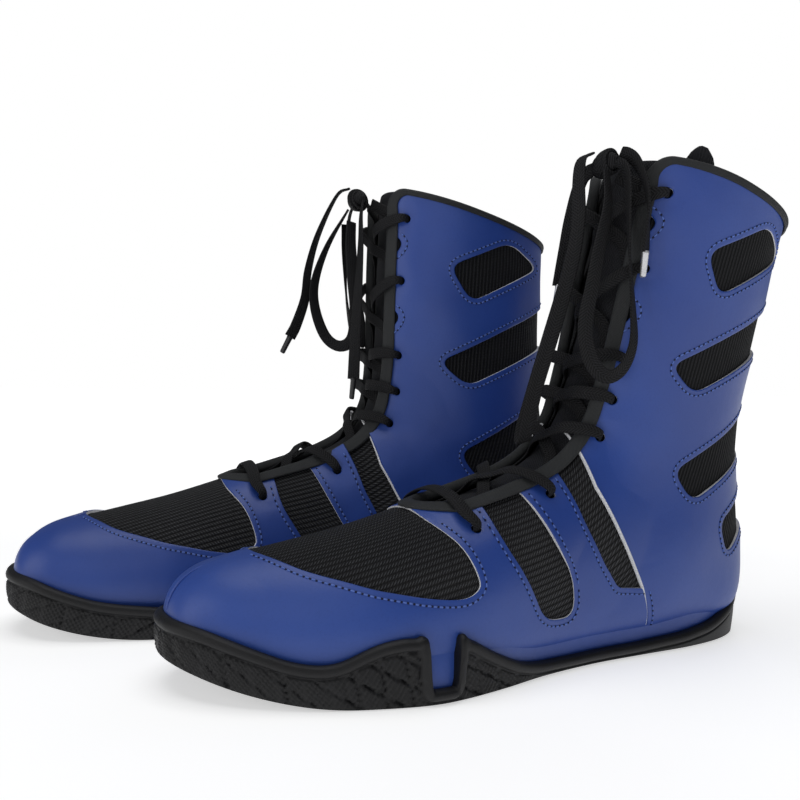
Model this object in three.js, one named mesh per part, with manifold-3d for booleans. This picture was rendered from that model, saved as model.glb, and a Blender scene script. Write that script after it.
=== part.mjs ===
// Pair of high-top boxing boots, laced and standing side by side, in millimetres, +Z up.
// Toes point toward -Y.  Every solid is first made for one boot in the boot's own frame
// (lateral side +x, floor z = 0) and is then placed as the left boot and mirrored as the right one.
import * as THREE from 'three';
import Module from 'manifold-3d';

const wasm = await Module();
wasm.setup();
const { Manifold, Mesh: ManifoldMesh } = wasm;

// ---------------------------------------------------------------- driving dimensions
const GAP = 0.3;                          // air left between two touching solids
const MESH_OUT = 0;                       // outer face of the mesh shell, the reference surface
const MESH_IN = -1.0;
const OVERLAY_IN = 0.35;                  // leather overlays lie on the mesh
const OVERLAY_OUT = 1.4;
const STIFF_OUT = -1.35;                  // toe puff and heel counter
const STIFF_IN = -1.85;
const LINING_OUT = -2.3;
const LINING_IN = -3.1;
const TONGUE_OUT = -5.6;
const TONGUE_IN = -8.6;
const BOARD_LIFT = 4.6;                   // insole board above the underside of the upper
const BOARD_THICK = 1.8;
const FOOTBED_THICK = 4.0;
const HOLE_RADIUS = 2.9;
const LACE_WIDTH = 5.6;
const LACE_THICK = 1.2;
const LACE_OVER = 4.3;                    // lace centre above and below the lacing edges
const LACE_UNDER = -3.6;
const CORD_RADIUS = 1.9;                  // the free laces are modelled as a round cord
const TOE_SPRING = 14;                    // lift of the sole under the toe tip
const SPRING_START = -85;
const SPRING_RUN = 65;
const THROAT_S = 0.392;                   // start of the lacing throat along the upper
const VAMP_END = 7 / 18;                  // the vamp pieces end here and the quarters start
const SEAM_ANGLE = 0.004;                 // half width of a butt seam, in section angle

// Where each boot stands: turned out by 4.7 degrees, left boot one half pace behind,
// and how far the soft shaft leans sideways and forward per millimetre above the ankle.
const LEFT = { name: 'left', mirror: false, x: 54.9, y: 28.6, yaw: 4.7, leanX: 0.16, leanY: 0 };
const RIGHT = { name: 'right', mirror: true, x: -55.1, y: -28.2, yaw: -4.7, leanX: 0.02, leanY: -0.10 };
const LEAN_START = 90;

// Sections of the upper from toe tip to rim.  Each one is a closed oval in the plane through
// its top (or front) point and its bottom (or back) point:
// top y, top z, bottom y, bottom z, centre x, lateral half width, medial half width,
// place of the widest point, roundness of the lower half, roundness of the upper half.
const SECTIONS = [
  [-148.0, 27.0, -148.0, 20.0, -12.5, 0.6, 0.6, 0.50, 2.0, 2.0],
  [-146.3, 36.0, -146.3, 17.0, -12.5, 11.0, 11.0, 0.40, 2.3, 2.0],
  [-141.5, 43.5, -141.5, 14.6, -12.0, 18.5, 18.5, 0.36, 2.6, 2.0],
  [-132.0, 49.5, -132.0, 12.0, -10.5, 26.0, 26.0, 0.34, 2.8, 2.1],
  [-118.0, 53.5, -118.0, 8.2, -8.0, 33.0, 32.5, 0.32, 3.0, 2.1],
  [-98.0, 57.5, -98.0, 5.2, -4.5, 39.5, 39.0, 0.32, 3.2, 2.1],
  [-72.0, 63.0, -72.0, 4.5, -1.0, 45.0, 45.0, 0.32, 3.2, 2.1],
  [-44.0, 71.0, -44.0, 4.5, 1.5, 45.5, 44.0, 0.34, 3.2, 2.1],
  [-18.0, 79.0, -18.0, 4.5, 3.0, 42.0, 40.0, 0.36, 3.2, 2.1],
  [5.0, 87.5, 12.0, 4.5, 3.0, 38.0, 35.5, 0.38, 3.2, 2.1],
  [21.0, 96.5, 50.0, 4.5, 2.0, 36.5, 34.5, 0.40, 3.2, 2.1],
  [30.0, 107.0, 100.0, 4.5, 1.0, 36.5, 35.5, 0.42, 3.0, 2.1],
  [35.0, 118.0, 137.0, 9.0, 0.5, 36.0, 35.5, 0.46, 2.8, 2.1],
  [38.0, 131.0, 145.5, 40.0, 0.0, 35.5, 35.0, 0.50, 2.5, 2.1],
  [40.5, 146.0, 143.5, 78.0, 0.0, 35.0, 34.5, 0.52, 2.3, 2.1],
  [43.0, 166.0, 142.0, 115.0, 0.0, 35.5, 35.0, 0.54, 2.2, 2.1],
  [46.0, 190.0, 143.5, 150.0, 0.0, 37.0, 36.5, 0.55, 2.2, 2.1],
  [49.0, 212.0, 146.5, 182.0, 0.0, 38.5, 38.0, 0.55, 2.2, 2.1],
  [51.0, 232.0, 148.5, 204.0, 0.0, 40.0, 39.5, 0.55, 2.2, 2.1],
];

// Grid lines of the upper: every section, with more where the toe, throat and heel turn.
const GRID = [...SECTIONS.keys(), 0.5, 7.06, 7.2, 7.5, 12.5]
  .map((k) => k / (SECTIONS.length - 1)).sort((a, b) => a - b);
const gridLines = (from, to) => [from, ...GRID.filter((s) => s > from + 0.001 && s < to - 0.001), to];

// Lace holes, toe end first: place along the upper and distance round it from the centre line.
const HOLES = [
  [0.422, 32], [0.518, 29.5], [0.647, 28], [0.716, 27.5], [0.780, 26.5], [0.877, 27.5], [0.959, 30],
];

// ---------------------------------------------------------------- the upper as a surface
function section(s) {
  const last = SECTIONS.length - 1;
  const t = THREE.MathUtils.clamp(s, 0, 1) * last;
  const i = Math.min(Math.floor(t), last - 1);
  const f = t - i;
  const b = SECTIONS[i];
  const c = SECTIONS[i + 1];
  const a = i > 0 ? SECTIONS[i - 1] : b.map((v, k) => 2 * v - c[k]);
  const d = i < last - 1 ? SECTIONS[i + 2] : c.map((v, k) => 2 * v - b[k]);
  return b.map((v, k) => 0.5 * (2 * v + (c[k] - a[k]) * f
    + (2 * a[k] - 5 * v + 4 * c[k] - d[k]) * f * f
    + (3 * v - a[k] - 3 * c[k] + d[k]) * f * f * f));
}

function rawPoint(s, angle) {
  const [ty, tz, by, bz, xc, wl, wm, widest, low, high] = section(s);
  const c = Math.cos(angle);
  const n = Math.sin(angle);
  const power = 2 / (c > 0 ? high : low);
  const rise = Math.sign(c) * Math.abs(c) ** power;
  const x = xc + (n > 0 ? wl : wm) * Math.sign(n) * Math.abs(n) ** power;
  const f = c > 0 ? widest + (1 - widest) * rise : widest + widest * rise;
  return new THREE.Vector3(x, by + (ty - by) * f, bz + (tz - bz) * f);
}

// Outward normal of the surface from small steps both ways.
function surfaceNormal(s, angle) {
  const e = 1e-3;
  const sMid = THREE.MathUtils.clamp(s, 3e-3, 1 - e);
  const along = rawPoint(sMid + e, angle).sub(rawPoint(sMid - e, angle));
  const round = rawPoint(sMid, angle + e).sub(rawPoint(sMid, angle - e));
  return round.cross(along).normalize();
}

function upper(s, angle, offset = 0) {
  return rawPoint(s, angle).addScaledVector(surfaceNormal(s, angle), offset);
}

// Section angle that lies a given distance round the upper from its centre line.
function angleAt(s, girth) {
  const side = Math.sign(girth) || 1;
  const steps = 90;
  let length = 0;
  let before = rawPoint(s, 0);
  for (let k = 1; k <= steps; k++) {
    const here = rawPoint(s, side * Math.PI * k / steps);
    const step = here.distanceTo(before);
    if (length + step >= Math.abs(girth)) {
      return side * Math.PI * (k - 1 + (Math.abs(girth) - length) / step) / steps;
    }
    length += step;
    before = here;
  }
  return side * Math.PI;
}

const at = (s, girth, offset) => upper(s, angleAt(s, girth), offset);

// Half width of the throat: a rounded start, then slowly opening to the rim.
function throat(s) {
  const run = Math.max(s - THROAT_S, 0);
  return 17 * Math.sqrt(Math.min(run / 0.03, 1)) + 3 * Math.min(run / 0.6, 1);
}

// ---------------------------------------------------------------- building solids
function signedVolume(points, faces) {
  let v = 0;
  for (const [a, b, c] of faces) {
    v += points[a].dot(new THREE.Vector3().crossVectors(points[b], points[c]));
  }
  return v;
}

function asManifold(points, faces) {
  const flip = signedVolume(points, faces) < 0;
  const vertProperties = new Float32Array(points.flatMap((p) => [p.x, p.y, p.z]));
  const triVerts = new Uint32Array(faces.flatMap(([a, b, c]) => (flip ? [a, c, b] : [a, b, c])));
  const mesh = new ManifoldMesh({ numProp: 3, vertProperties, triVerts });
  mesh.merge();
  return new Manifold(mesh);
}

// Closed solid through a row of closed rings with the same number of points; flat ends.
function loft(rings) {
  const n = rings[0].length;
  const points = rings.flat();
  const faces = [];
  for (let i = 0; i + 1 < rings.length; i++) {
    for (let j = 0; j < n; j++) {
      const k = (j + 1) % n;
      const a = i * n;
      const b = a + n;
      faces.push([a + j, a + k, b + k], [a + j, b + k, b + j]);
    }
  }
  const end = (rings.length - 1) * n;
  for (let j = 1; j + 1 < n; j++) {
    faces.push([0, j + 1, j], [end, end + j, end + j + 1]);
  }
  return asManifold(points, faces);
}

// Shell between two offsets of the upper, over the given grid lines.  The columns are the
// section angles on one line.  Ends are closed strip by strip, since a shell ring is a long
// thin band that may bend right round.
function shell(lines, columns, inner, outer) {
  const points = [];
  const faces = [];
  const n = columns(lines[0]).length;
  const count = lines.length - 1;
  const turns = n - 1;
  for (const s of lines) {
    for (const offset of [outer, inner]) {
      points.push(...columns(s).map((angle) => upper(s, angle, offset)));
    }
  }
  const id = (i, layer, j) => (i * 2 + layer) * n + j;
  const quad = (a, b, c, d) => faces.push([a, b, c], [a, c, d]);
  for (let i = 0; i < count; i++) {
    for (let j = 0; j < turns; j++) {
      quad(id(i, 0, j), id(i, 0, j + 1), id(i + 1, 0, j + 1), id(i + 1, 0, j));
      quad(id(i, 1, j), id(i + 1, 1, j), id(i + 1, 1, j + 1), id(i, 1, j + 1));
    }
    quad(id(i, 0, 0), id(i + 1, 0, 0), id(i + 1, 1, 0), id(i, 1, 0));
    quad(id(i, 0, turns), id(i, 1, turns), id(i + 1, 1, turns), id(i + 1, 0, turns));
  }
  for (let j = 0; j < turns; j++) {
    quad(id(0, 0, j + 1), id(0, 0, j), id(0, 1, j), id(0, 1, j + 1));
    quad(id(count, 0, j), id(count, 0, j + 1), id(count, 1, j + 1), id(count, 1, j));
  }
  return asManifold(points, faces);
}

const spread = (from, to, turns) => (
  Array.from({ length: turns + 1 }, (_, j) => from + (to - from) * j / turns));

// Columns of one half of the upper, from the throat edge to the back line, closer together
// near the front where the upper turns most; `skip` leaves out columns next to the throat.
const SHARES = [0, 0.1, 0.21, 0.34, 0.49, 0.66, 0.83, 1];
const halfColumns = (side, skip = 0) => (s) => {
  const from = Math.max(angleAt(s, throat(s)), SEAM_ANGLE);
  const angles = SHARES.slice(skip).map((share) => from + (Math.PI - SEAM_ANGLE - from) * share);
  return side > 0 ? angles : angles.map((angle) => -angle).reverse();
};

// Columns right round the closed forefoot.
const ringColumns = (s) => [...halfColumns(-1)(s), ...halfColumns(1, 1)(s)];

// Solid block inside one offset of the upper, used for cutting only.
function core(offset, sTo) {
  const rings = gridLines(0.002, sTo).map((s) => {
    const angles = [...halfColumns(-1)(s), ...halfColumns(1)(s)];
    return angles.map((angle) => {
      const under = THREE.MathUtils.smoothstep(Math.abs(angle), 2.9, 3.1)
        * (1 - THREE.MathUtils.smoothstep(s, 0.58, 0.64));
      return upper(s, angle, offset(under));
    });
  });
  return loft(rings);
}

// Prism of a side-view outline (y, z), straight across the boot from x0 to x1.
function prism(outline, x0, x1) {
  const shape = new THREE.Shape(outline.map(([y, z]) => new THREE.Vector2(y, z)));
  const made = new THREE.ExtrudeGeometry(shape, { depth: x1 - x0, bevelEnabled: false });
  const position = made.getAttribute('position');
  const points = [];
  const faces = [];
  for (let i = 0; i < position.count; i++) {
    points.push(new THREE.Vector3(x0 + position.getZ(i), position.getX(i), position.getY(i)));
  }
  for (let i = 0; i < position.count; i += 3) {
    faces.push([i, i + 1, i + 2]);
  }
  return asManifold(points, faces);
}

// Outline with its corners rounded by short quadratic curves.
function rounded(corners, cut) {
  const path = new THREE.Path();
  const at2 = (i) => new THREE.Vector2(...corners[(i + corners.length) % corners.length]);
  corners.forEach((corner, i) => {
    const here = at2(i);
    const from = at2(i - 1).sub(here).clampLength(0, cut).add(here);
    const to = at2(i + 1).sub(here).clampLength(0, cut).add(here);
    if (i === 0) {
      path.moveTo(from.x, from.y);
    } else {
      path.lineTo(from.x, from.y);
    }
    path.quadraticCurveTo(here.x, here.y, to.x, to.y);
  });
  return path.getPoints(2).slice(0, -1).map((p) => [p.x, p.y]);
}

// Ring around a spine: a polygon in (out, up) coordinates carried along given frames.
function sweep(frames, polygon) {
  return loft(frames.map(({ p, out, up }) => polygon.map(([a, b]) => (
    p.clone().addScaledVector(out, a).addScaledVector(up, b)))));
}

// Round bar along a smooth curve through the given points.
function tube(points, radius, sides, step) {
  const curve = new THREE.CatmullRomCurve3(points.map((p) => new THREE.Vector3(...p)));
  const circle = new THREE.Shape();
  circle.absarc(0, 0, radius, 0, 2 * Math.PI);
  const steps = Math.ceil(curve.getLength() / step);
  const bar = new THREE.ExtrudeGeometry(new THREE.Shape(circle.getPoints(sides).slice(0, sides)), {
    steps, extrudePath: curve, bevelEnabled: false,
  });
  const position = bar.getAttribute('position');
  const vertices = [];
  const faces = [];
  for (let i = 0; i < position.count; i++) {
    vertices.push(new THREE.Vector3().fromBufferAttribute(position, i));
  }
  for (let i = 0; i < position.count; i += 3) {
    faces.push([i, i + 1, i + 2]);
  }
  return asManifold(vertices, faces);
}

const union = (list) => list.reduce((a, b) => a.add(b));

// ---------------------------------------------------------------- outsole
const underside = (y) => TOE_SPRING * (Math.max(SPRING_START - y, 0) / SPRING_RUN) ** 2;

// Height of the side wall: a toe bumper, two raised flares parted by a narrow notch on the
// lateral side, a thin band under the waist and a wrap up the heel.
const LATERAL_WALL = [
  [-152, 31], [-141, 29], [-126, 23.5], [-112, 18.5], [-102, 17], [-94, 18], [-85, 23], [-77, 26],
  [-63, 27.5], [-59.5, 26], [-58.3, 6], [-48.7, 5.5], [-47.4, 25.5], [-45, 27], [-36, 21],
  [-24, 14.5], [-12, 9], [0, 6.5], [20, 5.8], [60, 6], [90, 7.5], [110, 10], [128, 16],
  [140, 26], [149, 36],
];
const MEDIAL_WALL = [
  [-152, 31], [-141, 29], [-126, 23.5], [-112, 19], [-100, 17], [-80, 15], [-60, 13], [-40, 10.5],
  [-20, 8], [0, 6.3], [60, 6], [90, 7.5], [110, 10], [128, 16], [140, 26], [149, 36],
];
// Plan outline of the sole at the floor, y and x of the outer edge.
const LATERAL_EDGE = [
  [-151.5, -10], [-150, -2], [-145, 7], [-135, 17.5], [-121, 27.5], [-101, 38], [-78, 46], [-58, 50.5],
  [-42, 50], [-20, 46], [5, 40], [35, 36], [65, 35], [95, 34.5], [118, 31], [134, 24], [144, 14],
  [148.7, 4],
];
const MEDIAL_EDGE = [
  [-151.5, -14], [-150, -22], [-145, -30.5], [-135, -39], [-121, -44], [-101, -47.5], [-78, -50],
  [-58, -49.5], [-42, -46], [-20, -40.5], [5, -35.5], [35, -33.5], [65, -33.5], [95, -34],
  [118, -31], [134, -24], [144, -14], [148.7, -4],
];

function along(table, y) {
  if (y <= table[0][0]) {
    return table[0][1];
  }
  const i = table.findIndex((row) => row[0] >= y);
  if (i < 0) {
    return table[table.length - 1][1];
  }
  const [y0, v0] = table[i - 1];
  const [y1, v1] = table[i];
  return v0 + (v1 - v0) * (y - y0) / (y1 - y0);
}

function makeOutsole() {
  const rows = [-151.4, -149, -145, -138, -126, -112, -102, -94, -85, -77, -63, -59.5, -58.3, -48.7,
    -47.4, -45, -36, -24, -12, 0, 20, 60, 90, 110, 124, 134, 141, 146, 148.6];
  const edgeCurve = (table) => new THREE.CatmullRomCurve3(
    table.map(([y, x]) => new THREE.Vector3(x, y, 0))).getPoints(3 * table.length)
    .map((p) => [p.y, p.x]);
  const lateral = edgeCurve(LATERAL_EDGE);
  const medial = edgeCurve(MEDIAL_EDGE);
  const rings = rows.map((y) => {
    const floor = underside(y);
    const right = along(lateral, y);
    const left = along(medial, y);
    const hr = Math.max(along(LATERAL_WALL, y), floor + 4);
    const hl = Math.max(along(MEDIAL_WALL, y), floor + 4);
    const lean = (h) => 0.011 * Math.max(h - 20, 0) ** 2;
    const point = (x, z) => new THREE.Vector3(x, y, z);
    return [
      point(left, floor), point(right, floor),
      point(right + 1.2, floor + 0.5 * (hr - floor)),
      point(right + 0.8 - lean(hr), hr - 1), point(right - 0.6 - lean(hr), hr),
      point(left + 0.6 + lean(hl), hl), point(left - 0.8 + lean(hl), hl - 1),
      point(left - 1.2, floor + 0.5 * (hl - floor)),
    ];
  });
  const room = core((under) => THREE.MathUtils.lerp(OVERLAY_OUT + GAP, GAP, under), 0.86);
  return loft(rings).subtract(room);
}

// ---------------------------------------------------------------- upper and its layers
const FAR = 90;
const SIDE_WINDOWS = [
  rounded([[79, 189], [116, 204], [138, 191], [90, 169]], 7),
  rounded([[70, 137], [160, 178], [160, 154], [85, 123]], 7),
  rounded([[78, 87], [160, 129], [160, 104], [90, 71]], 7),
  rounded([[110, 60], [160, 87], [160, 68], [117, 43]], 6),
];
// Small windows against the lacing edge, between the top holes.
const EDGE_WINDOWS = [
  rounded([[40, 208], [54, 208], [59, 201], [54, 193.5], [40, 193.5]], 4),
  rounded([[38, 169], [49, 169], [54.5, 161], [49, 152.5], [38, 152.5]], 4),
];
const FIRST_STRIPE = rounded([
  [-22, 80], [-20, 60], [-8, 40.5], [0.5, 26], [19, 25.5], [18.5, 42], [9.5, 57.5], [-4.5, 86]], 4);
const SECOND_STRIPE = [
  [18, 99], [19, 89], [26, 66], [36, 46.5], [45, 34], [60.2, 32.5], [62.5, 33], [50, 58.5], [39, 81],
  [34, 116]];
// Front edge of the rear quarter: the back edge of the second stripe and the seam below it.
const QUARTER_EDGE = [[30, 112], [36.8, 80], [47.8, 57.5], [60.8, 32.5], [72, 3]];
const VAMP_WINDOW = [
  [-46, 95], [-45, 64], [-39, 57], [-35.5, 49], [-36.5, 40.5], [-41, 38], [-56, 38.8], [-72, 41.6],
  [-90, 46.4], [-104, 49.2], [-114, 52], [-116.5, 54], [-116.5, 95]];

function holePins(list) {
  return union(list.map(([s, girth]) => {
    const mid = at(s, girth, 0);
    const axis = surfaceNormal(s, angleAt(s, girth));
    const a = mid.clone().addScaledVector(axis, 4);
    const b = mid.clone().addScaledVector(axis, -3);
    const pin = new THREE.CylinderGeometry(HOLE_RADIUS, HOLE_RADIUS, a.distanceTo(b), 6);
    const turn = new THREE.Quaternion().setFromUnitVectors(new THREE.Vector3(0, 1, 0), axis);
    pin.applyQuaternion(turn);
    pin.translate(...a.add(b).multiplyScalar(0.5).toArray());
    const position = pin.getAttribute('position');
    const points = [];
    for (let i = 0; i < position.count; i++) {
      points.push(new THREE.Vector3().fromBufferAttribute(position, i));
    }
    const index = Array.from(pin.index.array);
    const faces = [];
    for (let i = 0; i < index.length; i += 3) {
      faces.push(index.slice(i, i + 3));
    }
    return asManifold(points, faces);
  }));
}

function makeUpper(add) {
  const seam = 0.0015;
  for (const [side, label] of [[1, 'lateral'], [-1, 'medial']]) {
    const pins = holePins(HOLES.map(([s, girth]) => [s, side * girth]));
    const quarterLines = gridLines(VAMP_END + seam, 1);
    const half = halfColumns(side);
    const [x0, x1] = side > 0 ? [0, FAR] : [-FAR, 0];
    const cut = (outline) => prism(outline, x0, x1);
    add(`mesh_quarter_${label}`, shell(quarterLines, half, MESH_IN, MESH_OUT).subtract(pins));
    add(`quarter_lining_${label}`, shell(gridLines(VAMP_END + seam, 0.97), halfColumns(side, 2), LINING_IN,
      LINING_OUT));
    const hem = prism([[-160, 24], [-147.5, 20.5], [-132, 13.8], [-118, 10], [-98, 7], [-72, 6.2],
      [100, 6.2], [137, 11], [150, 16], [150, -20], [-160, -20]], -FAR, FAR);
    const behind = prism([...QUARTER_EDGE, [170, 3], [170, 260], [30, 260]], -FAR, FAR);
    const ahead = prism([...QUARTER_EDGE.map(([y, z]) => [y - 0.35, z]), [-170, 3], [-170, 112]],
      -FAR, FAR);
    let leather = shell(gridLines(0.003, 12 / 18), half, OVERLAY_IN, OVERLAY_OUT);
    leather = leather.intersect(ahead).subtract(cut(VAMP_WINDOW)).subtract(cut(FIRST_STRIPE));
    leather = leather.subtract(cut(SECOND_STRIPE)).subtract(hem).subtract(pins);
    add(`front_overlay_${label}`, leather);
    let quarter = shell(gridLines(0.5, 1), half, OVERLAY_IN, OVERLAY_OUT).intersect(behind);
    for (const window of [...SIDE_WINDOWS, ...EDGE_WINDOWS]) {
      quarter = quarter.subtract(cut(window));
    }
    add(`rear_overlay_${label}`, quarter.subtract(hem).subtract(pins));
  }
  const vampLines = gridLines(0.003, VAMP_END - seam);
  add('mesh_vamp', shell(vampLines, ringColumns, MESH_IN, MESH_OUT));
  add('vamp_lining', shell(gridLines(0.003, VAMP_END - 0.01), ringColumns, LINING_IN, LINING_OUT));
  const overToe = (s) => ringColumns(s).slice(3, -3);
  add('toe_puff', shell(gridLines(0.02, 0.22), overToe, STIFF_IN, STIFF_OUT));
  const roundHeel = (s) => {
    const half = halfColumns(1, 4)(s);
    return [...half, ...half.slice(0, -1).map((angle) => 2 * Math.PI - angle).reverse()];
  };
  add('heel_counter', shell(gridLines(12 / 18, 15 / 18), roundHeel, STIFF_IN, STIFF_OUT));
}

// Board and footbed: flat layers that reach the inside of the lining on both sides.
function makeFootbed(add) {
  const inset = (s) => (s > 0.62 ? 5 : 1.3);
  const sideAt = (s, side, z) => {
    let low = Math.PI * 0.5;
    let high = Math.PI;
    for (let k = 0; k < 30; k++) {
      const mid = (low + high) / 2;
      if (upper(s, side * mid, LINING_IN - inset(s)).z > z) {
        low = mid;
      } else {
        high = mid;
      }
    }
    return upper(s, side * low, LINING_IN - inset(s));
  };
  const layer = (from, to) => {
    const stations = [0.9, 1.5, 2.2, 3, 4, 5, 6, 7, 8, 9, 10, 11, 11.5].map((k) => k / 18);
    const rings = stations.map((s) => {
      const bottom = section(s)[3];
      return [[-1, from], [1, from], [1, to], [-1, to]]
        .map(([side, lift]) => sideAt(s, side, bottom + lift));
    });
    const last = rings[rings.length - 1];
    rings.push(last.map((p) => new THREE.Vector3(p.x * 0.5, p.y + 5, p.z)));
    return loft(rings);
  };
  add('insole_board', layer(BOARD_LIFT, BOARD_LIFT + BOARD_THICK));
  const lift = BOARD_LIFT + BOARD_THICK + GAP;
  add('footbed', layer(lift, lift + FOOTBED_THICK));
}

// Padded tongue under the lacing, wider toward the lateral side.
function makeTongue(add) {
  const half = (s) => THREE.MathUtils.lerp(20, 37, THREE.MathUtils.smoothstep(s, 0.4, 0.62));
  const columns = (s) => spread(angleAt(s, -half(s)), angleAt(s, half(s) + 3), 5);
  add('tongue', shell(gridLines(0.41, 1), columns, TONGUE_IN, TONGUE_OUT));
}

// ---------------------------------------------------------------- bindings
// Folded tape over an edge: outer flange, fold and inner flange in (out, up) coordinates.
function tape(outer, inner, fold, reach) {
  return [
    [outer + 0.6, -reach], [outer + 0.6, fold], [inner - 0.6, fold], [inner - 0.6, -reach],
    [inner, -reach], [inner, 0.7], [outer, 0.7], [outer, -reach],
  ];
}

// Frames along a row of surface places, with `up` pointing off the edge.
function edgeFrames(places, turnUp) {
  const points = places.map(([s, angle]) => rawPoint(s, angle));
  return places.map(([s, angle], i) => {
    const p = points[i];
    const before = points[Math.max(i - 1, 0)];
    const after = points[Math.min(i + 1, points.length - 1)];
    const out = surfaceNormal(s, angle);
    const up = new THREE.Vector3().crossVectors(after.clone().sub(before), out).normalize();
    return { p, out, up: up.multiplyScalar(turnUp) };
  });
}

function makeBindings(add) {
  const lines = [7.06, 7.2, 7.5].map((k) => k / (SECTIONS.length - 1))
    .concat(GRID.filter((s) => s > 0.43 && s < 0.95));
  const down = lines.toReversed().map((s) => [s, angleAt(s, throat(s))]);
  const places = [...down, [THROAT_S - 0.001, 0], ...down.toReversed().map(([s, a]) => [s, -a])];
  add('lacing_edge_binding', sweep(edgeFrames(places, 1),
    tape(OVERLAY_OUT + GAP, MESH_IN - 3.6 * GAP, 1.3, 2.6)));
  const half = halfColumns(1)(1);
  const round = [...half.slice(0, -1).map((a) => [1, a]), [1, Math.PI],
    ...half.slice(0, -1).reverse().map((a) => [1, -a])];
  add('collar_binding', sweep(edgeFrames(round, -1),
    tape(OVERLAY_OUT + GAP, MESH_IN - GAP, 1.3, 4)));
}

// ---------------------------------------------------------------- laces
// The lacing is one flat lace.  A rising strand starts under one lacing edge, crosses the
// tongue, lies over the other edge one row up and drops through the hole there.  Places are
// [along the upper, girth, offset, width].
function crossing(row, side) {
  const [s0, g0] = HOLES[row];
  const [s1, g1] = HOLES[row + 1];
  const step = (f) => s0 + (s1 - s0) * f;
  const lift = side > 0 ? 0.9 : -1.2;
  return [
    [s0 + 0.001, -side * (g0 - 8), LACE_UNDER, LACE_WIDTH],
    [step(0.3), -side * 12, LACE_UNDER, LACE_WIDTH],
    [step(0.44), -side * 3.4, lift, LACE_WIDTH],
    [step(0.56), side * 3.4, lift + 0.5, LACE_WIDTH],
    [step(0.72), side * 11.5, LACE_OVER, LACE_WIDTH],
    [step(0.93), side * (g1 - 6), LACE_OVER, LACE_WIDTH],
  ];
}

function intoHole(row, side) {
  const [s, g] = HOLES[row];
  return [[s, side * (g - 0.6), LACE_OVER, 3.6], [s, side * (g - 0.6), LACE_UNDER, 3.6]];
}

// Stations of one strand from the first row up to the knot, starting on the given side.
function strand(side) {
  const route = [...intoHole(0, side)];
  let here = side;
  for (let row = 0; row + 1 < HOLES.length; row++) {
    route.push(...crossing(row, -here), ...intoHole(row + 1, -here));
    here = -here;
  }
  const [s, g] = HOLES[HOLES.length - 1];
  route.push([s + 0.003, here * (g - 8), LACE_UNDER, LACE_WIDTH], [s + 0.01, here * 11, -2, LACE_WIDTH],
    [s + 0.02, here * 4, 2.4, LACE_WIDTH]);
  return route;
}

function makeLacing(add) {
  const [s0, g0] = HOLES[0];
  const bar = [-1, -0.7, -0.35, 0, 0.35, 0.7, 1]
    .map((k) => [s0 - 0.005, k * (g0 - 7), LACE_OVER, LACE_WIDTH]);
  const stations = [...strand(-1).reverse(), ...bar, ...strand(1)];
  const points = stations.map(([s, girth, offset]) => at(s, girth, offset));
  let side = new THREE.Vector3(0, 0, 1);
  const half = LACE_THICK / 2;
  const rings = stations.map(([s, girth, , width], i) => {
    const before = points[Math.max(i - 1, 0)];
    const after = points[Math.min(i + 1, points.length - 1)];
    const heading = after.clone().sub(before).normalize();
    const normal = surfaceNormal(s, angleAt(s, girth));
    const uphill = rawPoint(s + 0.005, 0).sub(rawPoint(s - 0.005, 0));
    const level = Math.abs(heading.dot(normal)) < 0.6;
    const next = level ? new THREE.Vector3().crossVectors(normal, heading) : uphill;
    next.addScaledVector(heading, -next.dot(heading)).normalize();
    side = next.dot(side) < 0 ? next.negate() : next;
    const face = new THREE.Vector3().crossVectors(heading, side).normalize();
    return [[-width / 2, -half], [width / 2, -half], [width / 2, half], [-width / 2, half]]
      .map(([a, b]) => points[i].clone().addScaledVector(side, a).addScaledVector(face, b));
  });
  add('laced_lace', loft(rings));
}

// Free lengths of each bow, as routes in the boot's own frame.
const BOWS = {
  left: {
    knot: [4, 41.5, 229],
    loop_outer: [[12.8, 40.3, 228.6], [17, 44, 222], [25.5, 44.5, 186], [30, 47, 161], [33, 47, 146], [33, 43, 135],
      [30.5, 37, 131], [27, 31, 136], [23, 28, 147], [21, 28, 158], [20, 30, 171], [18, 33, 190],
      [15, 37, 208], [11, 37, 224]],
    loop_inner: [[-2, 37, 234], [-1, 31, 230], [1, 30, 218], [4, 30, 203], [6, 28, 185], [7, 24, 165],
      [8, 19, 145], [9, 14, 126], [11, 10, 108], [9, 10, 100], [4, 12, 104], [1, 18, 125], [-2, 25, 150],
      [-3, 31, 178], [-4, 35, 205], [-4, 36, 222]],
    end_outer: [[12, 43, 233], [19, 46.5, 228], [25, 50, 215], [28, 50.5, 200], [30, 49.5, 187]],
    tip_outer: [[30, 49.5, 186.4], [31, 49, 176]],
    end_inner: [[-4, 42, 229], [-12, 41, 224], [-19, 43, 208], [-24, 45.5, 192], [-27, 46.5, 176]],
    tip_inner: [[-27, 46.5, 175.4], [-28, 46.5, 165]],
  },
  right: {
    knot: [0, 41.5, 227],
    loop_outer: [[8, 41, 226], [14, 39, 216], [20, 40, 196], [24, 43, 172], [25, 44, 155], [22, 42, 146],
      [17, 37, 150], [14, 34, 170], [11, 34, 196], [7, 35, 214]],
    loop_inner: [[-1, 35, 221], [3, 22, 200], [6, 14, 180], [6, 13, 165], [4, 17, 150], [1, 24, 144.5],
      [-2, 31, 149], [-3, 34, 165], [-3, 34, 182], [-4, 34, 201], [-4, 35.5, 214]],
    end_inner: [[-1, 37, 233], [2, 30, 229], [5, 18, 207], [7, 11, 187], [8, 8, 171], [9.5, 2, 156],
      [10.5, -2, 149]],
    tip_inner: [[10.6, -2.3, 148.4], [12, -7, 140]],
    end_outer: [[-8, 42, 225], [-10, 39.5, 216], [-10, 38, 200], [-9, 34, 170], [-9, 31, 150], [-9, 28, 126]],
    tip_outer: [[-9, 27.9, 125.4], [-9, 26, 115]],
  },
};

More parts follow.
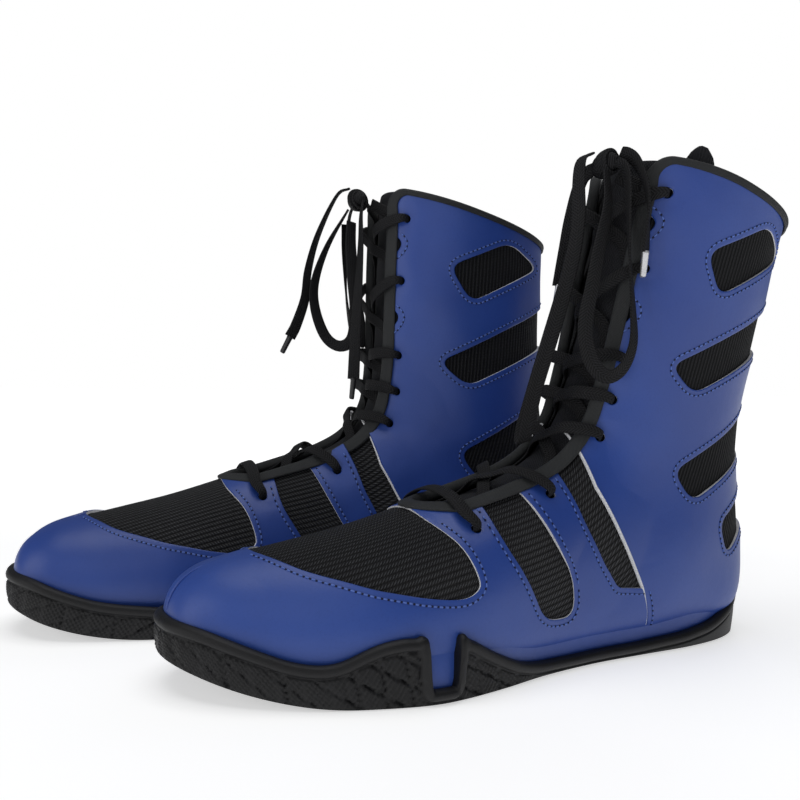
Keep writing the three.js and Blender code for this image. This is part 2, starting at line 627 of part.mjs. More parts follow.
function makeBow(add, bow) {
  const [x, y, z] = bow.knot;
  const ball = new THREE.SphereGeometry(1, 10, 6);
  ball.scale(7, 4.2, 5);
  ball.translate(x, y, z);
  const position = ball.getAttribute('position');
  const points = [];
  for (let i = 0; i < position.count; i++) {
    points.push(new THREE.Vector3().fromBufferAttribute(position, i));
  }
  const index = Array.from(ball.index.array);
  const faces = [];
  for (let i = 0; i < index.length; i += 3) {
    faces.push(index.slice(i, i + 3));
  }
  add('bow_knot', asManifold(points, faces));
  for (const part of ['loop_outer', 'loop_inner', 'end_outer', 'end_inner']) {
    add(`bow_${part}`, tube(bow[part], CORD_RADIUS, 8, 11));
  }
  for (const part of ['tip_outer', 'tip_inner']) {
    add(`lace_${part}`, tube(bow[part], CORD_RADIUS, 8, 20));
  }
}

// ---------------------------------------------------------------- looks and placing
const COLOURS = [
  [/overlay/, 0x2c4a9a, 0.45], [/sole/, 0x1c1c1e, 0.8], [/mesh|lining/, 0x15151a, 0.9],
  [/binding|tongue/, 0x1b1b1f, 0.8], [/lace|bow/, 0x111114, 0.85], [/footbed/, 0x2b2b30, 0.9],
  [/board|puff|counter/, 0xb9a988, 0.9], [/tip/, 0x9a9a9a, 0.3],
];

function toMesh(name, solid, boot) {
  const { vertProperties, triVerts, numProp } = solid.getMesh();
  const turn = new THREE.Matrix4().makeRotationZ(THREE.MathUtils.degToRad(boot.yaw));
  turn.setPosition(boot.x, boot.y, 0);
  const vertices = [];
  const p = new THREE.Vector3();
  for (let i = 0; i < vertProperties.length; i += numProp) {
    p.set(vertProperties[i], vertProperties[i + 1], vertProperties[i + 2]);
    const above = 0.5 * (p.z - LEAN_START + Math.hypot(p.z - LEAN_START, 20));
    p.x += boot.leanX * above;
    p.y += boot.leanY * above;
    if (boot.mirror) {
      p.x = -p.x;
    }
    p.applyMatrix4(turn);
    vertices.push(p.x, p.y, p.z);
  }
  const triangles = Array.from(triVerts);
  if (boot.mirror) {
    for (let i = 0; i < triangles.length; i += 3) {
      [triangles[i + 1], triangles[i + 2]] = [triangles[i + 2], triangles[i + 1]];
    }
  }
  const geometry = new THREE.BufferGeometry();
  geometry.setAttribute('position', new THREE.Float32BufferAttribute(vertices, 3));
  geometry.setIndex(triangles);
  geometry.computeVertexNormals();
  const [, color, roughness] = COLOURS.filter(([pattern]) => pattern.test(name)).pop();
  const mesh = new THREE.Mesh(geometry, new THREE.MeshStandardMaterial({ color, roughness }));
  mesh.name = `${boot.name}_${name}`;
  return mesh;
}

const shared = new Map();
const keep = (name, solid) => shared.set(name, solid);
keep('outsole', makeOutsole());
makeUpper(keep);
makeFootbed(keep);
makeTongue(keep);
makeBindings(keep);
makeLacing(keep);

const pair = new THREE.Group();
pair.name = 'boxing_boots';
for (const boot of [LEFT, RIGHT]) {
  const solids = new Map(shared);
  makeBow((name, solid) => solids.set(name, solid), BOWS[boot.name]);
  for (const [name, solid] of solids) {
    pair.add(toMesh(name, solid, boot));
  }
}

export default pair;
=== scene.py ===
# %% [markdown]
# # A pair of high boxing boots
#
# A boxing boot is a thin fabric shaft on a thin rubber cup sole.  Here the fabric is black mesh,
# and blue leather overlays with cut windows lie on it.  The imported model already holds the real
# sizes, so the first step loads it, and every piece below is made at its place in that frame.

# %% Load the frame
import math
import bpy
import numpy as np
from mathutils import Matrix, Vector


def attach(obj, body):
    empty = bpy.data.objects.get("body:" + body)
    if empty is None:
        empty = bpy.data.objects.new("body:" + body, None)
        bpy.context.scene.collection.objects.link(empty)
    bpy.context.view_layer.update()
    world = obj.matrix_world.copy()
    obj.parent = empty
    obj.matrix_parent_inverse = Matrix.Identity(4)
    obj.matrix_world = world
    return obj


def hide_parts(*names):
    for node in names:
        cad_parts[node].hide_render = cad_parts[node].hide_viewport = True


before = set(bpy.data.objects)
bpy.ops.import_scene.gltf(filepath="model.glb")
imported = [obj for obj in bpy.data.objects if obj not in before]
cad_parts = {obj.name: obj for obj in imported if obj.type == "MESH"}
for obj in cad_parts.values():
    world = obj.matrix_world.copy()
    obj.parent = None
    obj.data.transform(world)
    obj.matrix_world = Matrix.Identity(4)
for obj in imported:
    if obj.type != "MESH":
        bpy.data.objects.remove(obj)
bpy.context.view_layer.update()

# %% [markdown]
# ## Camera, light and floor
#
# A product shot of shoes uses a low camera close to the pair, so the near toe looks large.  The
# light is a big soft box above, one from the camera side, one beyond the toes and one behind.

# %% Camera
camera = bpy.data.objects.new("camera", bpy.data.cameras.new("camera"))
bpy.context.scene.collection.objects.link(camera)
bpy.context.scene.camera = camera
camera.data.lens = 41.04
camera.data.sensor_width = 36.0
camera.data.clip_start = 0.02
CAMERA_PLACE = Vector((0.4324, -0.1781, 0.1337))
CAMERA_AZIMUTH, CAMERA_PITCH, CAMERA_ROLL = (math.radians(v) for v in (67.1, -2.1, 1.2))
camera.matrix_world = (
    Matrix.Translation(CAMERA_PLACE)
    @ Matrix.Rotation(CAMERA_AZIMUTH, 4, "Z")
    @ Matrix.Rotation(math.pi / 2 + CAMERA_PITCH, 4, "X")
    @ Matrix.Rotation(CAMERA_ROLL, 4, "Z")
)

# %% Lights and floor
def area_light(name, place, target, size, power):
    """A square soft box at `place` that faces `target`."""
    light = bpy.data.lights.new(name, "AREA")
    light.size = size
    light.energy = power
    lamp = bpy.data.objects.new(name, light)
    bpy.context.scene.collection.objects.link(lamp)
    lamp.location = place
    lamp.rotation_euler = (Vector(target) - Vector(place)).to_track_quat("-Z", "Y").to_euler()


area_light("top_box", (0.1, -0.15, 1.5), (0, 0, 0.05), 1.2, 8.6)
area_light("camera_box", (1.25, -0.75, 0.85), (0, 0, 0.1), 0.8, 2.0)
area_light("toe_box", (0.15, -1.5, 0.6), (0, 0, 0.1), 0.8, 4.0)
area_light("back_box", (-0.8, 1.1, 0.9), (0, 0, 0.12), 0.9, 3)
world = bpy.data.worlds.new("studio")
bpy.context.scene.world = world
world.use_nodes = True
sky = world.node_tree
seen, ray = sky.nodes["Background"], sky.nodes.new("ShaderNodeLightPath")
seen.inputs["Color"].default_value = (1, 1, 1, 1)
glow, choice = sky.nodes.new("ShaderNodeBackground"), sky.nodes.new("ShaderNodeMixShader")
glow.inputs["Color"].default_value = (0.9, 0.94, 1.0, 1)
glow.inputs["Strength"].default_value = 0.13
sky.links.new(ray.outputs["Is Camera Ray"], choice.inputs[0])
sky.links.new(glow.outputs[0], choice.inputs[1])
sky.links.new(seen.outputs[0], choice.inputs[2])
sky.links.new(choice.outputs[0], sky.nodes["World Output"].inputs[0])
bpy.context.scene.view_settings.view_transform = "Standard"

# %% [markdown]
# ## Materials
#
# A finish is a node tree.  The small class below wraps a socket, so shader maths reads as
# ordinary Python: `1 - mask` adds a Math node.  Cloth patterns follow a piece's own `cloth` UV
# map, which is laid out in metres, and grain reads Object coordinates.

# %% Shader expressions
class Finish:
    """One material's node tree, with a helper that adds any node."""

    def __init__(self, name):
        self.material = bpy.data.materials.new(name)
        self.material.use_nodes = True
        self.tree = self.material.node_tree
        self.shader = self.tree.nodes["Principled BSDF"]

    def node(self, kind, settings=None, **sockets):
        """Adds a node: settings are made first, then each socket gets a value or a link."""
        made = self.tree.nodes.new(kind)
        for key, value in (settings or {}).items():
            if key == "stops":
                for element, (place, colour) in zip(made.color_ramp.elements, value):
                    element.position = place
                    element.color = (*colour, 1)
            else:
                setattr(made, key, value)
        for key, value in sockets.items():
            name = int(key[1:]) if key[1:].isdigit() else key.replace("_", " ")
            self.feed(made.inputs[name], value)
        return made

    def feed(self, socket, value):
        if isinstance(value, Value):
            value = value.socket
        if isinstance(value, bpy.types.NodeSocket):
            self.tree.links.new(value, socket)
        else:
            socket.default_value = value

    def maths(self, operation, *values):
        sockets = {f"i{k}": v for k, v in enumerate(values)}
        made = self.node("ShaderNodeMath", {"operation": operation}, **sockets)
        return Value(self, made.outputs[0])

    def place(self):
        return self.node("ShaderNodeTexCoord").outputs["Object"]

    def cloth(self):
        """The piece's own cloth map, across and along, in metres."""
        parts = self.node("ShaderNodeSeparateXYZ",
                          Vector=self.node("ShaderNodeUVMap", {"uv_map": "cloth"}).outputs[0])
        return Value(self, parts.outputs[0]), Value(self, parts.outputs[1])

    def noise(self, scale, detail=3.0, where=None):
        made = self.node("ShaderNodeTexNoise", Vector=where or self.place(), Scale=scale,
                         Detail=detail)
        return Value(self, made.outputs[0])

    def mix(self, share, first, second):
        """A colour mix; colours are three numbers or a link."""
        made = self.node("ShaderNodeMix", {"data_type": "RGBA"})
        self.feed(made.inputs[0], share)
        for socket, colour in ((made.inputs[6], first), (made.inputs[7], second)):
            self.feed(socket, (*colour, 1) if isinstance(colour, tuple) else colour)
        return made.outputs[2]

    def finish(self, colour, roughness, height=None, depth=0.0005, strength=1.0, **fixed):
        """Feeds the shader; `height` (0 to 1) becomes a bump `depth` metres deep."""
        self.feed(self.shader.inputs["Base Color"],
                  (*colour, 1) if isinstance(colour, tuple) else colour)
        self.feed(self.shader.inputs["Roughness"], roughness)
        if height is not None:
            bump = self.node("ShaderNodeBump", Strength=strength, Distance=depth, Height=height)
            self.feed(self.shader.inputs["Normal"], bump.outputs[0])
        for key, value in fixed.items():
            self.shader.inputs[key.replace("_", " ")].default_value = value
        return self.material


class Value:
    """A number that varies over the surface."""

    def __init__(self, finish, socket):
        self.finish, self.socket = finish, socket

    def __add__(self, other):
        return self.finish.maths("ADD", self, other)

    def __sub__(self, other):
        return self.finish.maths("SUBTRACT", self, other)

    def __rsub__(self, other):
        return self.finish.maths("SUBTRACT", other, self)

    def __mul__(self, other):
        return self.finish.maths("MULTIPLY", self, other)

    def __truediv__(self, other):
        return self.finish.maths("DIVIDE", self, other)

    def __pow__(self, other):
        return self.finish.maths("POWER", self, other)

    def __mod__(self, other):
        return self.finish.maths("FLOORED_MODULO", self, other)

    __radd__ = __add__
    __rmul__ = __mul__

    def sin(self):
        return self.finish.maths("SINE", self)

    def abs(self):
        return self.finish.maths("ABSOLUTE", self)

    def above(self, edge, soft):
        """0 below the edge, 1 above it, with a smooth step `soft` wide."""
        made = self.finish.node("ShaderNodeMapRange", {"interpolation_type": "SMOOTHSTEP"},
                                Value=self, From_Min=edge - soft / 2, From_Max=edge + soft / 2)
        return Value(self.finish, made.outputs[0])


def wave(value, period):
    """A ridge pattern from 0 to 1 that repeats every `period` metres."""
    return (value * (2 * math.pi / period)).sin() * 0.5 + 0.5


# %% [markdown]
# ### Blue leather
#
# The overlays are coated leather: a saturated blue, a fine pebble, soft creases and a satin
# gloss that changes a little.  Its cut edges show the pale backing.

# %% Leather and its cut edge
def blue_leather():
    f = Finish("blue_leather")
    cloud = f.noise(14, 4)
    grain = f.noise(900, 4)
    soft_fold = f.noise(60, 2)
    colour = f.mix(cloud.above(0.5, 0.5), (0.015, 0.052, 0.275), (0.022, 0.070, 0.335))
    colour = f.mix(grain.above(0.62, 0.25) * 0.15, colour, (0.012, 0.03, 0.16))
    rough = 0.36 + cloud * 0.10 + grain * 0.10
    return f.finish(colour, rough, grain * 0.12 + soft_fold * 0.9 + cloud * 0.8, 0.0007, 0.7,
                    Coat_Weight=0.15, Coat_Roughness=0.35)


def cut_edge():
    f = Finish("cut_edge")
    fibre = f.noise(1500, 3)
    colour = f.mix(fibre.above(0.5, 0.4), (0.60, 0.61, 0.64), (0.86, 0.86, 0.88))
    return f.finish(colour, 0.75 + fibre * 0.2, fibre, 0.0002)


LEATHER = blue_leather()
EDGE = cut_edge()

# %% [markdown]
# ### Black cloths
#
# Three cloths read the cloth map.  The shaft is a fine knit with ribs that run up the boot.  The
# vamp is coarser, with rows of slanted strands along the foot.  Lace and tape are flat weaves.

# %% Cloth finishes
# Black fibres scatter little light straight back
DULL = {"Specular_IOR_Level": 0.22}


def shaft_knit():
    f = Finish("shaft_knit")
    across, along = f.cloth()
    rib = wave(across, 0.0021)
    stitch = wave(along + across * 0.45, 0.0013)
    height = rib ** 1.6 * 0.8 + stitch * rib * 0.5
    # Colour follows the relief: painted shade in the grooves between ribs and stitches, painted
    # light on the raised yarn
    colour = f.mix(height, (0.002, 0.002, 0.0025), (0.012, 0.0125, 0.015))
    return f.finish(colour, 0.86 - height * 0.14, height, 0.0006, 0.8, **DULL)


def vamp_weave():
    f = Finish("vamp_weave")
    across, along = f.cloth()
    in_row = (across / 0.0026) % 1
    row = (in_row * math.pi).sin() ** 1.1
    strand = wave(along + in_row * 0.0021, 0.00145)
    height = row * (strand * 0.75 + 0.2)
    # Colour follows the relief: painted shade, near black, in the gaps between rows and strands,
    # and painted highlight on the raised strands
    colour = f.mix(height ** 1.5, (0.0020, 0.0020, 0.0025), (0.085, 0.087, 0.095))
    return f.finish(colour, 0.68 - height * 0.2, height, 0.0013, 1.0, **DULL)


def plain_cloth(name, dark, light, period, depth, rough=0.85):
    """A flat twill: two slanting waves over each other."""
    f = Finish(name)
    across, along = f.cloth()
    height = wave(across + along, period) * 0.5 + wave(across - along, period * 1.3) * 0.5
    fuzz = f.noise(1300, 3)
    # Colour is seven tenths the twill relief, with painted shade in its grooves and painted light
    # on its ridges, and three tenths random fuzz tone
    colour = f.mix(height * 0.7 + fuzz * 0.3, dark, light)
    return f.finish(colour, rough - fuzz * 0.12, height + fuzz * 0.4, depth, 0.8, **DULL)


def lace_braid():
    f = Finish("lace_braid")
    across, along = f.cloth()
    chevron = wave(along + across.abs() * 0.9, 0.0015)
    line = wave(across, 0.0012)
    height = chevron * 0.7 + line * 0.3
    # Colour follows the relief: painted shade in the grooves of the braid, painted light on its
    # raised chevrons
    colour = f.mix(height, (0.003, 0.003, 0.0035), (0.017, 0.017, 0.019))
    return f.finish(colour, 0.8 - height * 0.1, height, 0.0004, 0.9, **DULL)


KNIT = shaft_knit()
WEAVE = vamp_weave()
LINING = plain_cloth("lining_cloth", (0.004, 0.004, 0.005), (0.018, 0.018, 0.021), 0.0012, 0.0003)
TAPE = plain_cloth("binding_tape", (0.014, 0.015, 0.016), (0.042, 0.044, 0.046), 0.0007, 0.0002,
                   0.62)
PAD = plain_cloth("tongue_cloth", (0.006, 0.006, 0.008), (0.024, 0.025, 0.029), 0.0016, 0.0004)
FOAM = plain_cloth("footbed_cloth", (0.012, 0.012, 0.014), (0.040, 0.040, 0.045), 0.0022, 0.0005)
BRAID = lace_braid()

# %% [markdown]
# ### Rubber, thread, tips and stiffeners

# %% Hard finishes
def sole_rubber():
    f = Finish("sole_rubber")
    cloud = f.noise(30, 3)
    pore = f.noise(2200, 2)
    colour = f.mix(cloud.above(0.5, 0.6), (0.0035, 0.0035, 0.004), (0.0075, 0.0075, 0.009))
    return f.finish(colour, 0.40 + cloud * 0.12 + pore * 0.12, pore, 0.00015, 0.7,
                    Specular_IOR_Level=0.35)


def sewing_thread():
    f = Finish("sewing_thread")
    twist = f.noise(3500, 2)
    # The thread's blue is lifted well above the leather's to stand in for its highlights: partly
    # the thread's own colour, partly painted highlight; the twist noise varies the tone at random
    colour = f.mix(twist, (0.05, 0.11, 0.40), (0.13, 0.22, 0.62))
    return f.finish(colour, 0.6 + twist * 0.15, twist, 0.0001)


# Needle holes: small dark capsules sunk between the stitches, a painted shade where the holes are
def needle_hole_shade():
    f = Finish("needle_hole_shade")
    speck = f.noise(3000, 2)
    return f.finish(f.mix(speck, (0.002, 0.004, 0.02), (0.005, 0.009, 0.05)), 0.8 + speck * 0.1)


def lace_plastic(name, dark, light, rough, metal):
    f = Finish(name)
    speck = f.noise(1800, 2)
    colour = f.mix(speck, dark, light)
    return f.finish(colour, rough + speck * 0.12, speck, 0.0001, 0.5, Metallic=metal)


def fibre_board():
    f = Finish("fibre_board")
    fibre = f.noise(600, 5)
    colour = f.mix(fibre, (0.34, 0.28, 0.20), (0.50, 0.43, 0.33))
    return f.finish(colour, 0.82 + fibre * 0.1, fibre, 0.0002)


def floor_paint():
    f = Finish("floor_paint")
    cloud = f.noise(3, 2)
    away = f.node("ShaderNodeVectorMath", {"operation": "LENGTH"}, i0=f.place())
    far = Value(f, away.outputs[1]).above(0.5, 0.5)
    f.feed(f.shader.inputs["Emission Color"], f.mix(far, (0.52, 0.52, 0.52), (1.0, 1.0, 1.0)))
    f.shader.inputs["Emission Strength"].default_value = 1.0
    white = f.mix(cloud, (0.86, 0.86, 0.86), (0.88, 0.88, 0.88))
    return f.finish(f.mix(far, white, (0.3, 0.3, 0.3)), 0.65 + cloud * 0.1)


RUBBER = sole_rubber()
THREAD = sewing_thread()
HOLE_SHADE = needle_hole_shade()
SILVER_TIP = lace_plastic("silver_lace_tip", (0.45, 0.45, 0.47), (0.7, 0.7, 0.72), 0.18, 0.7)
BLACK_TIP = lace_plastic("black_lace_tip", (0.004, 0.004, 0.005), (0.02, 0.02, 0.022), 0.25, 0.0)
BOARD = fibre_board()
print("finishes", len(bpy.data.materials))

# %% The floor
bpy.ops.mesh.primitive_plane_add(size=8, location=(0, 0, -0.0004))
floor = bpy.context.object
floor.name = "floor"
floor.data.materials.append(floor_paint())
# %% [markdown]
# ## The upper as one surface
#
# A boot upper is stretched over a last, so all its layers follow one smooth form.  Here that form
# is a function of two parameters: `s` runs from the toe tip (0) to the rim (1), and `a` is the
# angle round a section, 0 on the front line and pi on the sole or heel line.  The table below
# holds the sections in millimetres, the same ones that the solid model was built from.

# %% Two helpers for vectors and lines
def unit(v):
    """Vectors divided by their own length."""
    return v / np.maximum(np.linalg.norm(v, axis=-1, keepdims=True), 1e-9)


def run_along(points):
    """Running length along a broken line: the sum of the steps so far, starting at 0."""
    return np.pad(np.cumsum(np.linalg.norm(np.diff(points, axis=0), axis=1)), (1, 0))


# %% Sections of the last
# top y, top z, bottom y, bottom z, centre x, lateral half width, medial half width,
# place of the widest point, roundness of the lower half, roundness of the upper half
SECTIONS = np.array([
    [-148.0, 27.0, -148.0, 20.0, -12.5, 0.6, 0.6, 0.50, 2.0, 2.0],
    [-146.3, 36.0, -146.3, 17.0, -12.5, 11.0, 11.0, 0.40, 2.3, 2.0],
    [-141.5, 43.5, -141.5, 14.6, -12.0, 18.5, 18.5, 0.36, 2.6, 2.0],
    [-132.0, 49.5, -132.0, 12.0, -10.5, 26.0, 26.0, 0.34, 2.8, 2.1],
    [-118.0, 53.5, -118.0, 8.2, -8.0, 33.0, 32.5, 0.32, 3.0, 2.1],
    [-98.0, 57.5, -98.0, 5.2, -4.5, 39.5, 39.0, 0.32, 3.2, 2.1],
    [-72.0, 63.0, -72.0, 4.5, -1.0, 45.0, 45.0, 0.32, 3.2, 2.1],
    [-44.0, 71.0, -44.0, 4.5, 1.5, 45.5, 44.0, 0.34, 3.2, 2.1],
    [-18.0, 79.0, -18.0, 4.5, 3.0, 42.0, 40.0, 0.36, 3.2, 2.1],
    [5.0, 87.5, 12.0, 4.5, 3.0, 38.0, 35.5, 0.38, 3.2, 2.1],
    [21.0, 96.5, 50.0, 4.5, 2.0, 36.5, 34.5, 0.40, 3.2, 2.1],
    [30.0, 107.0, 100.0, 4.5, 1.0, 36.5, 35.5, 0.42, 3.0, 2.1],
    [35.0, 118.0, 137.0, 9.0, 0.5, 36.0, 35.5, 0.46, 2.8, 2.1],
    [38.0, 131.0, 145.5, 40.0, 0.0, 35.5, 35.0, 0.50, 2.5, 2.1],
    [40.5, 146.0, 143.5, 78.0, 0.0, 35.0, 34.5, 0.52, 2.3, 2.1],
    [43.0, 166.0, 142.0, 115.0, 0.0, 35.5, 35.0, 0.54, 2.2, 2.1],
    [46.0, 190.0, 143.5, 150.0, 0.0, 37.0, 36.5, 0.55, 2.2, 2.1],
    [49.0, 212.0, 146.5, 182.0, 0.0, 38.5, 38.0, 0.55, 2.2, 2.1],
    [51.0, 232.0, 148.5, 204.0, 0.0, 40.0, 39.5, 0.55, 2.2, 2.1],
])
LAST = len(SECTIONS) - 1
PADDED_SECTIONS = np.vstack([
    2 * SECTIONS[0] - SECTIONS[1], SECTIONS, 2 * SECTIONS[-1] - SECTIONS[-2]])
LATERAL, MEDIAL = 1, -1


def section(s):
    """Catmull-Rom blend of the four nearest table rows; past the rim it goes on straight."""
    s = np.asarray(s, float)
    t = np.clip(s, 0, 1) * LAST
    i = np.minimum(t.astype(int), LAST - 1)
    f = (t - i)[..., None]
    a, b, c, d = (PADDED_SECTIONS[i + k] for k in range(4))
    row = 0.5 * (2 * b + (c - a) * f + (2 * a - 5 * b + 4 * c - d) * f ** 2
                 + (3 * b - a - 3 * c + d) * f ** 3)
    return row + np.maximum(s - 1, 0)[..., None] * LAST * (SECTIONS[-1] - SECTIONS[-2])


def form(s, a):
    """Point of the form: a superellipse half on each side of the widest line, laid in the plane
    through the section's top and bottom points."""
    s, a = np.broadcast_arrays(np.asarray(s, float), np.asarray(a, float))
    top_y, top_z, low_y, low_z, mid, lateral, medial, widest, low, high = np.moveaxis(
        section(s), -1, 0)
    c, n = np.cos(a), np.sin(a)
    power = 2 / np.where(c > 0, high, low)
    rise = np.sign(c) * np.abs(c) ** power
    x = mid + np.where(n > 0, lateral, medial) * np.sign(n) * np.abs(n) ** power
    f = np.where(c > 0, widest + (1 - widest) * rise, widest * (1 + rise))
    return np.stack([x, low_y + (top_y - low_y) * f, low_z + (top_z - low_z) * f], -1)


def outward(s, a):
    """Unit normal: the cross product of a small step round and a small step along the form."""
    step = 1e-3
    s = np.maximum(s, 3e-3)
    n = np.cross(form(s, a + step) - form(s, a - step), form(s + step, a) - form(s - step, a))
    return unit(n)


def layer(s, a, offset=0.0):
    """Point of a layer that lies `offset` millimetres outside the form."""
    return form(s, a) + outward(s, a) * np.asarray(offset, float)[..., None]


print("form", LAST + 1, "sections, rim", form(1.0, 0.0).round(1), form(1.0, math.pi).round(1))

# %% [markdown]
# A shoemaker measures round the last, so a second table turns a distance from the front line
# (the girth, in millimetres) back into the angle.

# %% Girth and length along the form
TABLE_S = np.linspace(0, 1, 361)
TABLE_A = np.linspace(0, np.pi, 241)


def girth_table(side):
    """Running length round each section, from the front line to the sole line."""
    p = form(TABLE_S[:, None], side * TABLE_A[None, :])
    steps = np.linalg.norm(np.diff(p, axis=1), axis=2)
    return np.pad(np.cumsum(steps, axis=1), ((0, 0), (1, 0)))


GIRTHS = {side: girth_table(side) for side in (LATERAL, MEDIAL)}
FRONT = run_along(form(TABLE_S, 0 * TABLE_S))


def half_girth(s, side):
    """Distance from the front line to the sole or heel line."""
    return np.interp(s, TABLE_S, GIRTHS[side][:, -1])


def angle_on(s, girth, side):
    """Angle that lies `girth` round from the front line: a search in the row of the table that
    belongs to s, then a straight step between two entries."""
    t = np.clip(s, 0, 1) * (len(TABLE_S) - 1)
    i = np.minimum(t.astype(int), len(TABLE_S) - 2)
    f = (t - i)[:, None]
    rows = GIRTHS[side][i] * (1 - f) + GIRTHS[side][i + 1] * f
    k = np.clip((rows <= girth[:, None]).sum(1) - 1, 0, len(TABLE_A) - 2)
    here = np.arange(len(k))
    low, high = rows[here, k], rows[here, k + 1]
    share = np.clip((girth - low) / np.maximum(high - low, 1e-9), 0, 1)
    return side * (k + share) * TABLE_A[1]


def angle_at(s, girth):
    """The same for a signed girth: lateral is positive, medial negative."""
    s, girth = (np.asarray(v, float) for v in np.broadcast_arrays(s, girth))
    flat_s, flat_g = s.ravel(), girth.ravel()
    both = [angle_on(flat_s, np.abs(flat_g), side) for side in (LATERAL, MEDIAL)]
    return np.where(flat_g >= 0, both[0], both[1]).reshape(s.shape)


def spot(s, girth, offset=0.0):
    return layer(s, angle_at(s, girth), offset)


THROAT_START, THROAT_ROUND = 0.392, 0.03
THROAT_HALF, THROAT_WIDENING = 17, 3


def throat(s):
    """Half width of the lacing throat: a round start, then slowly wider to the rim."""
    run = np.maximum(np.asarray(s, float) - THROAT_START, 0)
    round_start = np.sqrt(np.minimum(run / THROAT_ROUND, 1))
    return THROAT_HALF * round_start + THROAT_WIDENING * np.minimum(run / 0.6, 1)


CORNER = 11.0


def in_corner(s, girth):
    """Distance inside the rounded corner where throat and rim meet, laid out flat."""
    x, y = np.abs(girth) - throat(s), FRONT[-1] - np.interp(s, TABLE_S, FRONT)
    return np.where((x < CORNER) & (y < CORNER),
                    CORNER - np.hypot(np.maximum(CORNER - x, 0), np.maximum(CORNER - y, 0)),
                    CORNER)


print("front line", FRONT[-1].round(0), "mm, round the ball",
      (half_girth(0.36, LATERAL) + half_girth(0.36, MEDIAL)).round(0), "mm")

# %% [markdown]
# ## From arrays to meshes
#
# Each boot is made once in its own frame and then placed.  The soft shafts lean: the left one
# sideways, the right one forward.  The right boot is the mirror image, so its faces are turned.

# %% Placing a boot and making a mesh
BOOTS = {
    "left": {"place": (54.9, 28.6), "yaw": 4.7, "side": 1, "lean": (0.16, 0.0)},
    "right": {"place": (-55.1, -28.2), "yaw": -4.7, "side": -1, "lean": (0.02, -0.10)},
}
LEAN_START, LEAN_BLEND = 90.0, 20


def stand(boot, p):
    """Leans, mirrors, turns and moves points of one boot, from millimetres to metres."""
    b = BOOTS[boot]
    z = p[..., 2]
    above = 0.5 * (z - LEAN_START + np.hypot(z - LEAN_START, LEAN_BLEND))
    x = (p[..., 0] + b["lean"][0] * above) * b["side"]
    y = p[..., 1] + b["lean"][1] * above
    turn = math.radians(b["yaw"])
    return np.stack([b["place"][0] + x * math.cos(turn) - y * math.sin(turn),
                     b["place"][1] + x * math.sin(turn) + y * math.cos(turn), z], -1) / 1000


def make_piece(boot, name, points, faces, materials, marks=None, cloth=None, sharp=38,
               body="boot"):
    """A mesh object from points (mm, boot frame) and a list of face arrays.

    `marks` gives each face array's material number and `cloth` the cloth map of each point, in
    millimetres across and along."""
    mesh = bpy.data.meshes.new(f"{boot}_{name}")
    where = stand(boot, points)
    if BOOTS[boot]["side"] < 0:
        faces = [f[:, ::-1] for f in faces]
    corners = np.concatenate([f.ravel() for f in faces])
    sizes = np.concatenate([np.full(len(f), f.shape[1]) for f in faces])
    mesh.vertices.add(len(where))
    mesh.vertices.foreach_set("co", where.astype(np.float32).ravel())
    mesh.loops.add(len(corners))
    mesh.loops.foreach_set("vertex_index", corners.astype(np.int32))
    mesh.polygons.add(len(sizes))
    starts = np.cumsum(sizes) - sizes
    mesh.polygons.foreach_set("loop_start", starts.astype(np.int32))
    mesh.update(calc_edges=True)
    for material in materials:
        mesh.materials.append(material)
    if marks is not None:
        numbers = np.concatenate([np.full(len(f), m) for f, m in zip(faces, marks)])
        mesh.polygons.foreach_set("material_index", numbers.astype(np.int32))
    if cloth is not None:
        layer_uv = mesh.uv_layers.new(name="cloth")
        layer_uv.data.foreach_set("uv", (cloth[corners] / 1000).astype(np.float32).ravel())
    mesh.polygons.foreach_set("use_smooth", np.ones(len(sizes), bool))
    mesh.set_sharp_from_angle(angle=math.radians(sharp))
    mesh.validate()
    piece = bpy.data.objects.new(f"{boot}_{name}", mesh)
    bpy.context.scene.collection.objects.link(piece)
    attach(piece, f"{boot}_{body}")
    return piece


def stands_for(piece, boot, *nodes):
    """Hides the plain solids that this piece is the finished form of."""
    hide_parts(*(f"{boot}_{node}" for node in nodes))
    return piece


# %% [markdown]
# Four kinds of shape cover nearly everything: a sheet with a cut outline and a thickness, a
# ribbon or cord that is swept along a path, a row of stitches, and the sole.

# %% Grids and clipped sheets
def lines_between(start, stop, step):
    """Values of s whose longest step on the front, side or sole line is about `step` mm."""
    fine = np.linspace(start, stop, 1500)
    moves = [np.linalg.norm(np.diff(form(fine, a), axis=0), axis=1) for a in (0.0, 1.5, np.pi)]
    total = np.concatenate([[0], np.cumsum(np.max(moves, axis=0))])
    return np.interp(np.linspace(0, total[-1], int(total[-1] / step) + 2), total, fine)


def grid_faces(rows, columns, turned=False):
    """Quads of a grid of rows x columns points."""
    k = np.arange(rows * columns).reshape(rows, columns)
    quads = np.stack([k[:-1, :-1], k[:-1, 1:], k[1:, 1:], k[1:, :-1]], -1).reshape(-1, 4)
    return quads[:, ::-1] if turned else quads


def half_sheet(side, s, columns, start=throat, stop=None):
    """Parameters (s, a, girth) of a grid on one side of the boot, columns equally far apart."""
    first = start(s)
    last = half_girth(s, side) if stop is None else stop(s)
    share = np.linspace(0, 1, columns)
    girth = first[:, None] + (last - first)[:, None] * share
    girth = np.minimum(girth, half_girth(s, side)[:, None])
    rows = np.broadcast_to(s[:, None], girth.shape)
    a = angle_on(rows.ravel(), girth.ravel(), side)
    a = np.clip(np.abs(a), 0.003, np.pi - 0.003) * side
    params = np.stack([rows.ravel(), a, side * girth.ravel()], -1)
    return params, grid_faces(len(s), columns, turned=side == MEDIAL)


def split_quads(quads):
    return np.concatenate([quads[:, [0, 1, 2]], quads[:, [0, 2, 3]]])


